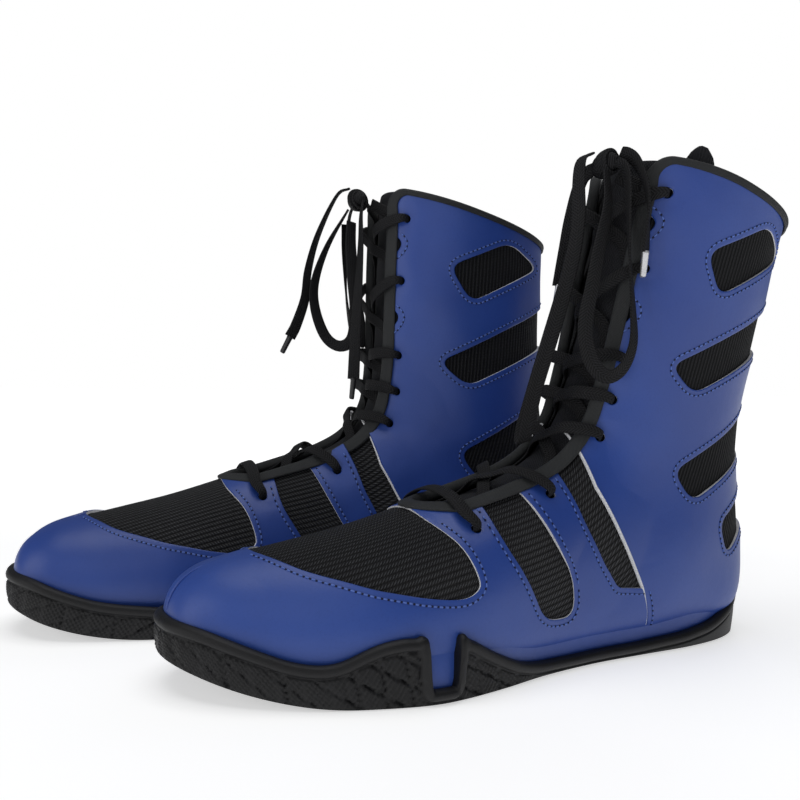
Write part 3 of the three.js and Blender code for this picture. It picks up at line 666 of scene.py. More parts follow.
def clip(params, tris, keep):
    """Cuts a triangle mesh along keep = 0 and drops the part below it.

    A triangle with one corner kept shrinks to the part next to that corner, one with two kept
    becomes two triangles; new points lie where `keep` passes zero on a straight edge."""
    inside = keep > 0
    count = inside[tris].sum(1)

    def odd_first(t, odd):
        k = np.argmax(odd[t], axis=1)
        r = np.arange(len(t))
        return np.stack([t[r, (k + m) % 3] for m in range(3)], -1)

    one = odd_first(tris[count == 1], inside)
    two = odd_first(tris[count == 2], ~inside)
    crossed = [t[:, ends] for t in (one, two) for ends in ([0, 1], [0, 2])]
    pairs = np.sort(np.concatenate(crossed), 1)
    edges, back = np.unique(pairs, axis=0, return_inverse=True)
    back = back.reshape(-1) + len(params)
    low, high = keep[edges[:, 0]], keep[edges[:, 1]]
    share = (low / (low - high))[:, None]
    between = params[edges[:, 0]] * (1 - share) + params[edges[:, 1]] * share
    params = np.concatenate([params, between])
    m, n = len(one), len(two)
    a, b, c, d = np.split(back, [m, 2 * m, 2 * m + n])
    tris = np.concatenate([tris[count == 3], np.stack([one[:, 0], a, b], -1),
                           np.stack([c, two[:, 1], two[:, 2]], -1),
                           np.stack([c, two[:, 2], d], -1)])
    used, tris = np.unique(tris, return_inverse=True)
    return params[used], tris.reshape(-1, 3)


def border(faces):
    """Directed edges that belong to one face only."""
    turns = faces.shape[1]
    edges = np.concatenate([faces[:, [k, (k + 1) % turns]] for k in range(turns)])
    big = int(faces.max()) + 1
    forward, backward = edges[:, 0] * big + edges[:, 1], edges[:, 1] * big + edges[:, 0]
    return edges[~np.isin(forward, backward)]


def slab_faces(faces, count):
    """Faces of a slab: the first face, the same `count` points further on and turned, and the
    rim between the two borders."""
    i, j = border(faces).T
    return [faces, faces[:, ::-1] + count, np.stack([j, i, i + count, j + count], -1)]


def sheet_piece(boot, name, params, faces, outer, inner, materials, bevel=0.25, zone=None, **more):
    """A sheet with a thickness: outer and inner face, and a rim with a small rounded edge.

    The rim's middle ring stands out by `bevel` along the surface, square to the border.  The rim
    gets the last material, except on the front and back line, where two halves are joined.
    Faces in `zone` get the second material."""
    s, a = params[:, 0], params[:, 1]
    outer, inner = (np.broadcast_to(v, s.shape) for v in (outer, inner))
    top, low = layer(s, a, outer), layer(s, a, inner)
    edges = border(faces)
    ring, at = np.unique(edges, return_inverse=True)
    at = at.reshape(-1, 2)
    run = top[edges[:, 1]] - top[edges[:, 0]]
    tangent = np.zeros((len(ring), 3))
    np.add.at(tangent, at[:, 0], run)
    np.add.at(tangent, at[:, 1], run)
    normal = outward(s[ring], a[ring])
    out = unit(np.cross(tangent, normal))
    depth = (outer - inner)[ring, None]
    mid = [top[ring] + out * bevel - normal * depth * 0.22, low[ring] + out * bevel]
    n, m = len(top), len(ring)
    i, j = edges[:, 0], edges[:, 1]
    p, q = at[:, 0] + 2 * n, at[:, 1] + 2 * n
    joined = (np.abs(np.sin(a[i])) < 0.01) & (np.abs(np.sin(a[j])) < 0.01)
    rims = [np.stack([j, i, p, q], -1), np.stack([q, p, p + m, q + m], -1),
            np.stack([q + m, p + m, i + n, j + n], -1)]
    rims = [rims[0], rims[1][joined], rims[2][joined], rims[1][~joined], rims[2][~joined]]
    points = np.concatenate([top, low, *mid])
    flat = np.stack([params[:, 2], np.interp(s, TABLE_S, FRONT)], -1)
    cloth = np.concatenate([flat, flat, flat[ring], flat[ring]])
    zone = np.zeros(len(faces), bool) if zone is None else zone
    marks = [0, 1, 0, 0, 0, 0, len(materials) - 1, len(materials) - 1]
    return make_piece(boot, name, points, [faces[~zone], faces[zone], faces[:, ::-1] + n, *rims],
                      materials, marks=marks, cloth=cloth, **more)


# %% [markdown]
# Cut outlines are given as seen from the side, in y and z.  The signed distance to an outline
# says how far a point lies outside it, so the same function cuts the windows and places the
# stitching at an even distance from them.

# %% Outlines
def rounded(corners, cut, turns=7):
    """Outline whose corners are quadratic curves that start `cut` mm before each corner."""
    corners = np.asarray(corners, float)
    made = []
    for before, here, after in zip(np.roll(corners, 1, 0), corners, np.roll(corners, -1, 0)):
        ends = [here + (other - here) * min(1, cut / np.linalg.norm(other - here))
                for other in (before, after)]
        t = np.linspace(0, 1, turns)[:, None]
        made.append(ends[0] * (1 - t) ** 2 + 2 * here * t * (1 - t) + ends[1] * t ** 2)
    return np.concatenate(made)


def outside(points, outline):
    """Signed distance to a closed outline: positive outside, negative inside.  The sign comes
    from how often a ray to the right crosses the outline."""
    best = np.full(len(points), 1e9)
    crossings = np.zeros(len(points), int)
    for a, b in zip(outline, np.roll(outline, -1, 0)):
        edge = b - a
        t = np.clip(((points - a) @ edge) / max(edge @ edge, 1e-12), 0, 1)
        best = np.minimum(best, np.linalg.norm(points - a - t[:, None] * edge, axis=1))
        spans = (a[1] > points[:, 1]) != (b[1] > points[:, 1])
        at = a[0] + edge[0] * (points[:, 1] - a[1]) / (edge[1] if edge[1] else 1e-12)
        crossings += spans & (points[:, 0] < at)
    return np.where(crossings % 2 == 1, -best, best)


SIDE_WINDOWS = [
    rounded([[79, 189], [116, 204], [138, 191], [90, 169]], 8),
    rounded([[70, 137], [175, 185], [175, 161], [85, 123]], 8),
    rounded([[78, 87], [175, 136], [175, 111], [90, 71]], 8),
    rounded([[110, 60], [175, 95], [175, 76], [117, 43]], 7),
]
EDGE_WINDOWS = [
    rounded([[30, 208], [54, 208], [59, 201], [54, 193.5], [30, 193.5]], 4),
    rounded([[30, 169], [49, 169], [54.5, 161], [49, 152.5], [30, 152.5]], 4),
]
FIRST_BAND = rounded([[-22, 80], [-20, 60], [-8, 40.5], [0.5, 24.5], [19.5, 24], [18.5, 42],
                      [9.5, 57.5], [-4.5, 86]], 8)
SECOND_BAND = rounded([[18, 99], [19, 89], [26, 66], [36, 46.5], [45, 34], [60.2, 32.5], [62.5, 33],
                       [50, 58.5], [39, 81], [34, 116]], 3)
QUARTER_EDGE = np.array([[30, 112], [36.8, 80], [47.8, 57.5], [60.8, 32.5], [72, 3]], float)
# The toe window in y and girth, one half
VAMP_HALF = np.array([[-116, 0], [-114, 8], [-105, 22], [-98, 29], [-90, 35], [-79, 43], [-72, 47],
                      [-56, 55], [-41, 60], [-33.5, 57.5], [-33, 53], [-37, 38], [-43, 25.5],
                      [-46, 15], [-46, 0]], float)
HOLES = np.array([[0.422, 32], [0.518, 29.5], [0.647, 28], [0.716, 27.5], [0.780, 26.5],
                  [0.877, 27.5], [0.959, 30]])
HOLE_RADIUS = 2.7


def softened(outline, times=3):
    """Cuts every corner of a closed outline, at a quarter of its two edges, again and again."""
    for _ in range(times):
        ahead = np.roll(outline, -1, 0)
        outline = np.stack([outline * 0.75 + ahead * 0.25, outline * 0.25 + ahead * 0.75], 1)
        outline = outline.reshape(-1, 2)
    return outline


print("outlines", len(SIDE_WINDOWS) + len(EDGE_WINDOWS) + 3, "and", 2 * len(HOLES), "lace holes")
# %% [markdown]
# ## Mesh, lining and stiffeners
#
# The black fabric is one skin in four panels: the vamp round the forefoot and two quarters.  A
# lining lies inside it, with a toe puff and a heel counter pressed between the two.

# %% Fabric shells
VAMP_END = 7 / 18
# outer and inner face of each layer, as heights over the form
CLOTH = (0.0, -1.0)
INNER_CLOTH = (-2.3, -3.1)
STIFFENER = (-1.35, -1.85)
QUARTERS = (("lateral", LATERAL), ("medial", MEDIAL))


def hole_field(p, side, radius):
    """Distance to the nearest edge of a punched lace hole."""
    centres = spot(HOLES[:, 0], side * HOLES[:, 1])
    return np.min([np.linalg.norm(p - c, axis=1) - radius for c in centres], axis=0)


def ring_sheet(s, columns):
    """Grid right round the closed forefoot, columns equally far apart on each side."""
    halves = []
    for side in (MEDIAL, LATERAL):
        params, _ = half_sheet(side, s, columns, start=lambda v: 0 * v)
        grid = params.reshape(len(s), columns, 3)
        halves.append(grid[:, ::-1] if side == MEDIAL else grid[:, 1:])
    grid = np.concatenate(halves, axis=1)
    return grid.reshape(-1, 3), grid_faces(len(s), grid.shape[1])


def make_shells(boot):
    made = []
    for label, side in QUARTERS:
        s = lines_between(VAMP_END + 0.0002, 1, 2.0)
        params, quads = half_sheet(side, s, 84)
        keep = np.minimum(hole_field(form(params[:, 0], params[:, 1]), side, HOLE_RADIUS - 0.3),
                          in_corner(params[:, 0], params[:, 2]))
        cut, tris = clip(params, split_quads(quads), keep)
        middle = form(*cut[tris].mean(axis=1)[:, :2].T)
        made.append(stands_for(
            sheet_piece(boot, f"mesh_{label}", cut, tris, *CLOTH, [KNIT, WEAVE],
                        zone=(middle[:, 1] < 66) & (middle[:, 2] < 125)),
            boot, f"mesh_quarter_{label}"))
        s = lines_between(VAMP_END + 0.0015, 0.985, 4)
        params, quads = half_sheet(side, s, 40, start=lambda v: throat(v) + 12)
        made.append(stands_for(
            sheet_piece(boot, f"lining_{label}", params, quads, *INNER_CLOTH, [LINING]),
            boot, f"quarter_lining_{label}"))
    params, quads = ring_sheet(lines_between(0.003, VAMP_END - 0.0002, 2.0), 72)
    made.append(stands_for(sheet_piece(boot, "vamp_cloth", params, quads, *CLOTH, [WEAVE]),
                           boot, "mesh_vamp"))
    params, quads = ring_sheet(lines_between(0.003, VAMP_END - 0.012, 4.0), 40)
    made.append(stands_for(
        sheet_piece(boot, "vamp_lining_cloth", params, quads, *INNER_CLOTH, [LINING]),
        boot, "vamp_lining"))
    s = lines_between(0.02, 0.22, 3)
    params, quads = half_sheet(LATERAL, s, 30, start=lambda v: 0 * v,
                               stop=lambda v: half_girth(v, LATERAL) * 0.62)
    grid = params.reshape(len(s), 30, 3)
    mirrored = grid[:, :0:-1].copy()
    mirrored[..., 1:] *= -1
    both = np.concatenate([mirrored, grid], axis=1)
    made.append(stands_for(
        sheet_piece(boot, "toe_stiffener", both.reshape(-1, 3), grid_faces(len(s), both.shape[1]),
                    *STIFFENER, [BOARD]), boot, "toe_puff"))
    s = lines_between(12 / 18, 15 / 18, 4)
    a = np.linspace(0.52 * np.pi, 1.48 * np.pi, 48)
    rows, turns = np.meshgrid(s, a, indexing="ij")
    params = np.stack([rows.ravel(), turns.ravel(), (turns.ravel() - np.pi) * 40], -1)
    made.append(stands_for(
        sheet_piece(boot, "heel_stiffener", params, grid_faces(len(s), 48), *STIFFENER, [BOARD]),
        boot, "heel_counter"))
    return made


for boot in BOOTS:
    shells = make_shells(boot)
    print(boot, "fabric faces", sum(len(o.data.polygons) for o in shells))

# %% [markdown]
# ## Blue leather overlays
#
# The leather is cut flat, lasted and sewn on the mesh.  A grid of the leather is clipped by the
# outlines, and the rim of the cut gets the pale backing.  Leather that has been worn or packed
# is never quite smooth, so its outer face carries shallow folds, deeper where the ankle bends.

# %% Cutting the leather
HEM = np.array([[-160, 22], [-147.5, 18.5], [-132, 11.8], [-118, 8], [-98, 5], [-72, 4.7],
                [100, 4.7],
                [137, 9], [150, 14]], float)
AHEAD = np.vstack([QUARTER_EDGE - [1.0, 0], [[-175, 3], [-175, 112]]])
BEHIND = np.vstack([QUARTER_EDGE, [[190, 3], [190, 290], [30, 290]]])
VAMP_OUTLINE = softened(np.vstack([VAMP_HALF[:1] - [0, 30], VAMP_HALF, VAMP_HALF[-1:] - [0, 30]]))
LEATHER_OUT, LEATHER_LEAST, LEATHER_IN = 1.4, 0.75, 0.15


def fold_seed(boot, side):
    """Each side of each boot has its own folds."""
    return 11 + (side > 0) + 2 * (boot == "left")


def folds(params, seed):
    """Height of the folds: a sum of long waves of random direction, sharpened so that ridges
    are narrow, and stronger where the ankle bends."""
    rng = np.random.default_rng(seed)
    v = np.interp(params[:, 0], TABLE_S, FRONT)
    u = params[:, 2]
    total = np.zeros(len(params))
    for _ in range(16):
        length = rng.uniform(26, 80)
        turn = rng.normal(0, 0.55)
        phase = rng.uniform(0, 2 * np.pi)
        bend = 5 * np.sin(u / 23 + phase)
        total += np.sin(2 * np.pi * ((v + bend) * np.cos(turn) + u * np.sin(turn)) / length
                        + phase) * length / 60
    total /= 4
    ankle = np.exp(-((params[:, 0] - 0.60) / 0.10) ** 2)
    toe = np.exp(-((params[:, 0] - 0.1) / 0.2) ** 2)
    return (0.42 + 1.5 * ankle + 0.06 * toe) * total


def leather_piece(boot, label, side, front):
    s = lines_between(0.004, 12 / 18, 1.5) if front else lines_between(0.5, 1, 1.5)
    params, quads = half_sheet(side, s, 118)
    p = form(params[:, 0], params[:, 1])
    seen = p[:, 1:]
    fields = [hole_field(p, side, HOLE_RADIUS), p[:, 2] - np.interp(p[:, 1], *HEM.T)]
    if front:
        unrolled = np.stack([p[:, 1], np.abs(params[:, 2])], -1)
        fields += [-outside(seen, AHEAD), outside(unrolled, VAMP_OUTLINE),
                   outside(seen, FIRST_BAND), outside(seen, SECOND_BAND)]
    else:
        fields += [-outside(seen, BEHIND), in_corner(params[:, 0], params[:, 2])]
        fields += [outside(seen, w) for w in SIDE_WINDOWS + EDGE_WINDOWS]
    cut, tris = clip(params, split_quads(quads), np.min(fields, axis=0))
    q = form(cut[:, 0], cut[:, 1])
    pull = np.exp(-(np.maximum(hole_field(q, side, HOLE_RADIUS), 0) / 5.0) ** 2)
    height = LEATHER_OUT + folds(cut, fold_seed(boot, side)) - 0.45 * pull
    name = f"{'front' if front else 'rear'}_leather_{label}"
    piece = sheet_piece(boot, name, cut, tris, np.maximum(height, LEATHER_LEAST), LEATHER_IN,
                        [LEATHER, EDGE], bevel=0.42)
    return stands_for(piece, boot, f"{'front' if front else 'rear'}_overlay_{label}")


for boot in BOOTS:
    for label, side in QUARTERS:
        for front in (True, False):
            piece = leather_piece(boot, label, side, front)
            print(piece.name, len(piece.data.polygons), "faces")

# %% [markdown]
# ## Stitching
#
# Every window is sewn round with blue thread.  One stitch is a small capsule, and a row of them
# is placed at an even pitch along an outline that has been pushed out by the seam allowance.
# Outlines seen from the side are carried onto the form by a nearest-point search and a few
# Newton steps.

# %% From the side view onto the form
def coarse_form(side):
    params, _ = half_sheet(side, lines_between(0.01, 0.999, 4), 60, start=lambda v: 0.5 + 0 * v)
    return params[:, :2], form(params[:, 0], params[:, 1])[:, 1:]


COARSE = {side: coarse_form(side) for side in (LATERAL, MEDIAL)}


def onto_form(side, seen):
    """s and a of points given by y and z, and which of them lie on the form at all."""
    params, places = COARSE[side]
    near = np.argmin(((seen[:, None, :] - places[None]) ** 2).sum(2), axis=1)
    s, a = params[near].T.copy()
    e = 1e-4
    for _ in range(5):
        here = form(s, a)[:, 1:]
        ds = (form(s + e, a)[:, 1:] - here) / e
        da = (form(s, a + e)[:, 1:] - here) / e
        miss = seen - here
        det = ds[:, 0] * da[:, 1] - ds[:, 1] * da[:, 0]
        det = np.where(np.abs(det) < 1e-6, 1e-6, det)
        s = s + np.clip((miss[:, 0] * da[:, 1] - miss[:, 1] * da[:, 0]) / det, -0.02, 0.02)
        a = a + np.clip((ds[:, 0] * miss[:, 1] - ds[:, 1] * miss[:, 0]) / det, -0.2, 0.2)
        s = np.clip(s, 0.004, 0.999)
        a = np.clip(np.abs(a), 0.01, np.pi - 0.004) * side
    return s, a, np.linalg.norm(form(s, a)[:, 1:] - seen, axis=1) < 0.4


def pushed_out(outline, gap):
    """Outline moved outward by `gap` along its own normals, which are averaged at corners."""
    ahead, back = np.roll(outline, -1, 0), np.roll(outline, 1, 0)
    along = ahead - back
    normal = unit(np.stack([along[:, 1], -along[:, 0]], -1))
    area = np.sum(outline[:, 0] * ahead[:, 1] - outline[:, 1] * ahead[:, 0])
    return outline + normal * gap * np.sign(area)


LOOK_AHEAD = 0.4


def even_points(line, pitch, closed):
    """Points at an even pitch along a broken line, and the points LOOK_AHEAD mm further on."""
    if closed:
        line = np.vstack([line, line[:1]])
    run = run_along(line)
    at = np.arange(pitch / 2, run[-1], pitch)
    return (np.stack([np.interp(at + more, run, column) for column in line.T], -1)
            for more in (0, LOOK_AHEAD))


def capsule():
    """One stitch, 1 mm long and 1 mm thick: rings of six points between two tips."""
    angles = np.linspace(0, 2 * np.pi, 6, endpoint=False)
    rings = [(-0.40, 0.34), (-0.2, 0.5), (0.2, 0.5), (0.40, 0.34)]
    points = [np.array([[-0.5, 0, 0]])]
    points += [np.stack([np.full(6, x), r * np.cos(angles), r * np.sin(angles)], -1)
               for x, r in rings]
    points += [np.array([[0.5, 0, 0]])]
    faces = []
    for k in range(6):
        n = (k + 1) % 6
        faces.append([0, 1 + n, 1 + k])
        faces.append([25, 19 + k, 19 + n])
        for ring in range(3):
            low, high = 1 + 6 * ring, 7 + 6 * ring
            faces += [[low + k, low + n, high + n], [low + k, high + n, high + k]]
    return np.concatenate(points), np.array(faces)


CAPSULE, CAPSULE_FACES = capsule()
STITCH_LENGTH, STITCH_THICK, STITCH_PITCH, SEAM = 1.9, 0.8, 2.7, 2.3
SEAM_CLEAR = 1.2


def stitches(boot, name, places, aheads, normals, material, thick=STITCH_THICK,
             length=STITCH_LENGTH):
    """One mesh of capsules, each turned along its seam and flat on the surface."""
    x = unit(aheads - places)
    z = unit(normals - (normals * x).sum(1, keepdims=True) * x)
    y = np.cross(z, x)
    size = CAPSULE * [length, thick, thick * 0.8]
    points = (places[:, None] + size[None, :, 0, None] * x[:, None]
              + size[None, :, 1, None] * y[:, None] + size[None, :, 2, None] * z[:, None])
    faces = CAPSULE_FACES[None] + 26 * np.arange(len(places))[:, None, None]
    piece = make_piece(boot, name, points.reshape(-1, 3), [faces.reshape(-1, 3)], [material],
                       sharp=80)
    return piece


def seams(side):
    """Seam points of one side as (s, a) pairs, each with a point just ahead of it."""
    rows = [(pushed_out(w, SEAM), True) for w in SIDE_WINDOWS + EDGE_WINDOWS]
    rows += [(pushed_out(FIRST_BAND, SEAM), True)]
    front_of_band = pushed_out(SECOND_BAND, SEAM)
    rows += [(front_of_band[front_of_band[:, 0] < np.interp(
        front_of_band[:, 1], QUARTER_EDGE[::-1, 1], QUARTER_EDGE[::-1, 0]) - 1], False)]
    rows += [(QUARTER_EDGE + [2.6, 0], False)]
    places, aheads = [], []
    for line, closed in rows:
        here, ahead = even_points(line, STITCH_PITCH, closed)
        s0, a0, good0 = onto_form(side, here)
        s1, a1, good1 = onto_form(side, ahead)
        good = good0 & good1 & (np.abs(a0 - a1) < 0.2)
        places.append(np.stack([s0, a0], -1)[good])
        aheads.append(np.stack([s1, a1], -1)[good])
    top_y = section(TABLE_S)[:, 0]
    toe = pushed_out(VAMP_OUTLINE, SEAM)
    first = int(np.argmin(np.abs(toe[:, 1] - 1.5) + (toe[:, 0] > -80) * 99))
    toe = np.roll(toe, -first, 0)
    toe = toe[:int(np.argmax((toe[:, 0] > -60) & (toe[:, 1] < 22)))]
    here, ahead = even_points(toe, STITCH_PITCH, False)
    for found, line in ((places, here), (aheads, ahead)):
        s = np.interp(line[:, 0], top_y, TABLE_S)
        found.append(np.stack([s, angle_at(s, side * line[:, 1])], -1))
    return np.concatenate(places), np.concatenate(aheads)


def girth_of(s, a, side):
    """Distance round from the front line at angle a: the nearest row of the table, and a straight
    step between two of its entries."""
    rows = GIRTHS[side][np.round(s * (len(TABLE_S) - 1)).astype(int)]
    place = np.abs(a) / TABLE_A[1]
    k = np.minimum(place.astype(int), len(TABLE_A) - 2)
    here = np.arange(len(k))
    low, high = rows[here, k], rows[here, k + 1]
    return low + (high - low) * (place - k)


def sew(boot):
    total = 0
    for label, side in QUARTERS:
        here, ahead = seams(side)
        centre_seen = form(*here.T)
        clear = np.ones(len(here), bool)
        for w in SIDE_WINDOWS + EDGE_WINDOWS + [FIRST_BAND, SECOND_BAND]:
            clear &= outside(centre_seen[:, 1:], w) > SEAM_CLEAR
        clear &= hole_field(centre_seen, side, HOLE_RADIUS) > 1.0
        girth = girth_of(*here.T, side)
        clear &= outside(np.stack([centre_seen[:, 1], girth], -1), VAMP_OUTLINE) > SEAM_CLEAR
        clear &= (girth > throat(here[:, 0]) + 5.6) & (in_corner(here[:, 0], girth) > 4)
        here, ahead, girth = here[clear], ahead[clear], girth[clear]
        folded = folds(np.column_stack([here, side * girth]), fold_seed(boot, side))
        lift = np.maximum(LEATHER_OUT + folded, LEATHER_LEAST) + 0.16
        start, stop = layer(*here.T, lift), layer(*ahead.T, lift)
        piece = stitches(boot, f"stitching_{label}", start, stop, outward(*here.T), THREAD)
        # Dark capsules halfway between stitches, sunk a little: painted shade in the needle holes
        shift = unit(stop - start) * STITCH_PITCH / 2 - outward(*here.T) * 0.14
        stitches(boot, f"needle_pits_{label}", start + shift, stop + shift, outward(*here.T), HOLE_SHADE,
                 0.95, 1.15)
        total += len(here)
        print(piece.name, len(here), "stitches")
    return total


for boot in BOOTS:
    sew(boot)
# %% [markdown]
# ## Bindings
#
# A tape folded over the raw edges finishes the throat and the rim.  Its cross-section is a
# rounded loop that starts on the leather, goes over the edge and comes back on the inside.

# %% Sweeping a loop along an edge
def loop_faces(rings, points, closed=False):
    """Quads between rings of points; `closed` joins the last ring to the first."""
    k = np.arange(rings * points).reshape(rings, points)
    if closed:
        k = np.vstack([k, k[:1]])
    turned = np.roll(k, -1, axis=1)
    return np.stack([k[:-1], turned[:-1], turned[1:], k[1:]], -1).reshape(-1, 4)


def caps(rings, points):
    """Triangle fans that close the first and the last ring."""
    k = np.arange(1, points - 1)
    end = (rings - 1) * points
    first = np.stack([0 * k, k + 1, k], -1)
    last = np.stack([0 * k + end, end + k, end + k + 1], -1)
    return np.concatenate([first, last])


# reach on the surface from the edge, and height over the form
TAPE_LOOP = np.array([
    [5.4, 1.5], [5.3, 2.15], [4.6, 2.4], [3.2, 2.45], [1.6, 2.6], [0.2, 2.75], [-0.9, 2.6],
    [-1.7, 1.9],
    [-2.0, 0.6], [-2.0, -0.8], [-1.6, -2.0], [-0.6, -2.6], [1.0, -2.7], [3.0, -2.6], [4.2, -2.4],
    [4.3, -1.3], [2.0, -0.6], [2.0, 1.0]])
RIM_LOOP = TAPE_LOOP * np.where(TAPE_LOOP[:, :1] > 0, [[0.42, 1]], [[0.65, 1]])
AROUND = run_along(TAPE_LOOP)


def tape_piece(boot, name, points, path, node):
    """Mesh of a tape from its rings of points; its cloth runs round the loop and along the
    path."""
    cloth = np.stack(np.broadcast_arrays(AROUND[None], run_along(path)[:, None]), -1)
    size = (len(path), len(TAPE_LOOP))
    piece = make_piece(boot, name, points.reshape(-1, 3),
                       [loop_faces(*size)[:, ::-1], caps(*size)[:, ::-1]], [TAPE],
                       cloth=cloth.reshape(-1, 2), sharp=70)
    return stands_for(piece, boot, node)


def throat_tape(boot):
    """The path is laid out flat, as length along the front line and girth, so that the reach can
    be measured square to it; then each point goes onto the form."""
    turn = np.linspace(0, 1, 16) ** 2 * THROAT_ROUND
    corner_s = float(np.interp(FRONT[-1] - CORNER, FRONT, TABLE_S))
    s = np.concatenate([THROAT_START + turn, np.linspace(0.4245, corner_s, 180)])
    flat = np.stack([np.interp(s, TABLE_S, FRONT), throat(s)], -1)
    bend = np.linspace(0, np.pi / 2, 18)[1:]
    arc = np.stack([FRONT[-1] - CORNER + CORNER * np.sin(bend),
                    throat(1.0) + CORNER * (1 - np.cos(bend))], -1)
    flat = np.vstack([flat, arc])
    narrow = np.concatenate([np.zeros(len(s)), bend / (np.pi / 2)])
    path = np.vstack([flat[::-1] * [1, -1], flat[1:]])
    narrow = np.concatenate([narrow[::-1], narrow[1:]])[:, None]
    tangent = unit(np.gradient(path, axis=0))
    away = np.stack([-tangent[:, 1], tangent[:, 0]], -1)
    reach = TAPE_LOOP[None, :, 0] * (1 - narrow) + RIM_LOOP[None, :, 0] * narrow
    spots = path[:, None] + away[:, None] * reach[..., None]
    where_s = np.interp(spots[..., 0], FRONT, TABLE_S)
    points = spot(where_s, spots[..., 1], np.broadcast_to(TAPE_LOOP[:, 1], where_s.shape))
    turn_at_rim = angle_at(1.0, spots[..., 1])
    up = unit(form(1.0, turn_at_rim) - form(0.99, turn_at_rim))
    points = points + up * np.maximum(spots[..., :1] - FRONT[-1], 0)
    return tape_piece(boot, "throat_tape", points, path, "lacing_edge_binding")


def rim_tape(boot):
    """Along the rim the reach is measured down the shaft, on the form's own slope."""
    start = float(angle_at(1.0, throat(1.0) + CORNER))
    a = np.linspace(start - 0.01, 2 * np.pi - start + 0.01, 170)
    edge, normal = form(1.0, a), outward(1.0, a)
    down = unit(form(0.99, a) - edge)
    points = (edge[:, None] + down[:, None] * RIM_LOOP[None, :, :1]
              + normal[:, None] * RIM_LOOP[None, :, 1:])
    return tape_piece(boot, "rim_tape", points, edge, "collar_binding")


# across the seam, and height over the form
PIPING = np.array([[-0.5, 0.2], [-0.45, 1.3], [-0.2, 1.65], [0.1, 1.7], [0.5, 1.5], [0.7, 0.2]])


def seam_piping(boot, label, side):
    """The pale raw edge that shows along the seam between front and rear overlay."""
    line, _ = even_points(QUARTER_EDGE - [0.5, 0], 1.2, False)
    s, a, good = onto_form(side, line)
    s, a = s[good], a[good]
    normal, centre = outward(s, a), form(s, a)
    across = unit(np.cross(normal, np.gradient(centre, axis=0)))
    points = (centre[:, None] + across[:, None] * PIPING[None, :, :1]
              + normal[:, None] * PIPING[None, :, 1:])
    rings, k = len(s), len(PIPING)
    faces = [loop_faces(rings, k)[:, ::-1], caps(rings, k)[:, ::-1]]
    piece = make_piece(boot, f"piping_{label}", points.reshape(-1, 3), faces, [EDGE], sharp=70)
    return piece


for boot in BOOTS:
    print(throat_tape(boot).name, rim_tape(boot).name)
    for label, side in QUARTERS:
        seam_piping(boot, label, side)

# %% [markdown]
# ## Tongue and footbed
#
# Both are thin pads: a core of foam between two cloths, thick in the middle and pinched at the
# sewn edge.  The left tongue has slipped round, so its corner stands a little above the rim.

# %% Pads
def pad_sheet(boot, name, s, girth_low, girth_high, middle, thick, material, body):
    """A pad on the form: a grid whose thickness falls to a thin edge at its border, with a sewn
    groove 6 mm inside it."""
    share = np.linspace(0, 1, s.shape[1])
    girth = girth_low[:, None] + (girth_high - girth_low)[:, None] * share
    a = angle_at(np.clip(s, 0, 1), girth)
    run = np.interp(np.clip(s, 0, 1), TABLE_S, FRONT)
    to_side = np.minimum(share, 1 - share) * (girth_high - girth_low)[:, None]
    to_end = np.minimum(run - run.min(axis=0), run.max(axis=0) - run)
    edge = np.minimum(to_side, to_end + 0.6)
    crown = np.sqrt(np.clip(edge / 9, 0, 1))
    groove = np.exp(-((edge - 6.0) / 1.1) ** 2)
    half = thick * (0.22 + 0.78 * crown - 0.28 * groove) / 2
    params = np.stack([s.ravel(), a.ravel(), girth.ravel()], -1)
    return sheet_piece(boot, name, params, grid_faces(*s.shape), middle + half.ravel(),
                       middle - half.ravel(), [material], bevel=0.4, body=body, sharp=60)


def make_tongue(boot):
    rows, columns = 130, 44
    share = np.linspace(0, 1, columns)
    rise, slip = (0.028, 17.0) if boot == "left" else (0.004, 0.0)
    lobe = np.interp(share, [0, 0.70, 0.75, 0.80, 0.86, 0.94, 1.0], [0, 0, 0.7, 1, 1, 0.7, 0.1])
    top = 1.0 + rise * lobe
    t = np.linspace(0, 1, rows)[:, None]
    s = 0.41 + (top[None] - 0.41) * t
    mid = s[:, columns // 2]
    half = 20 + 17 * np.clip((mid - 0.4) / 0.22, 0, 1)
    slip = slip * np.clip((mid - 0.7) / 0.3, 0, 1) ** 1.5
    inward = 0.35 * slip[:, None] * np.clip((share - 0.55) / 0.45, 0, 1) ** 1.5
    piece = pad_sheet(boot, "tongue_pad", s, slip - half, slip + half + 3,
                      (-6.9 - inward).ravel(), 4.2, PAD, "tongue")
    return stands_for(piece, boot, "tongue")


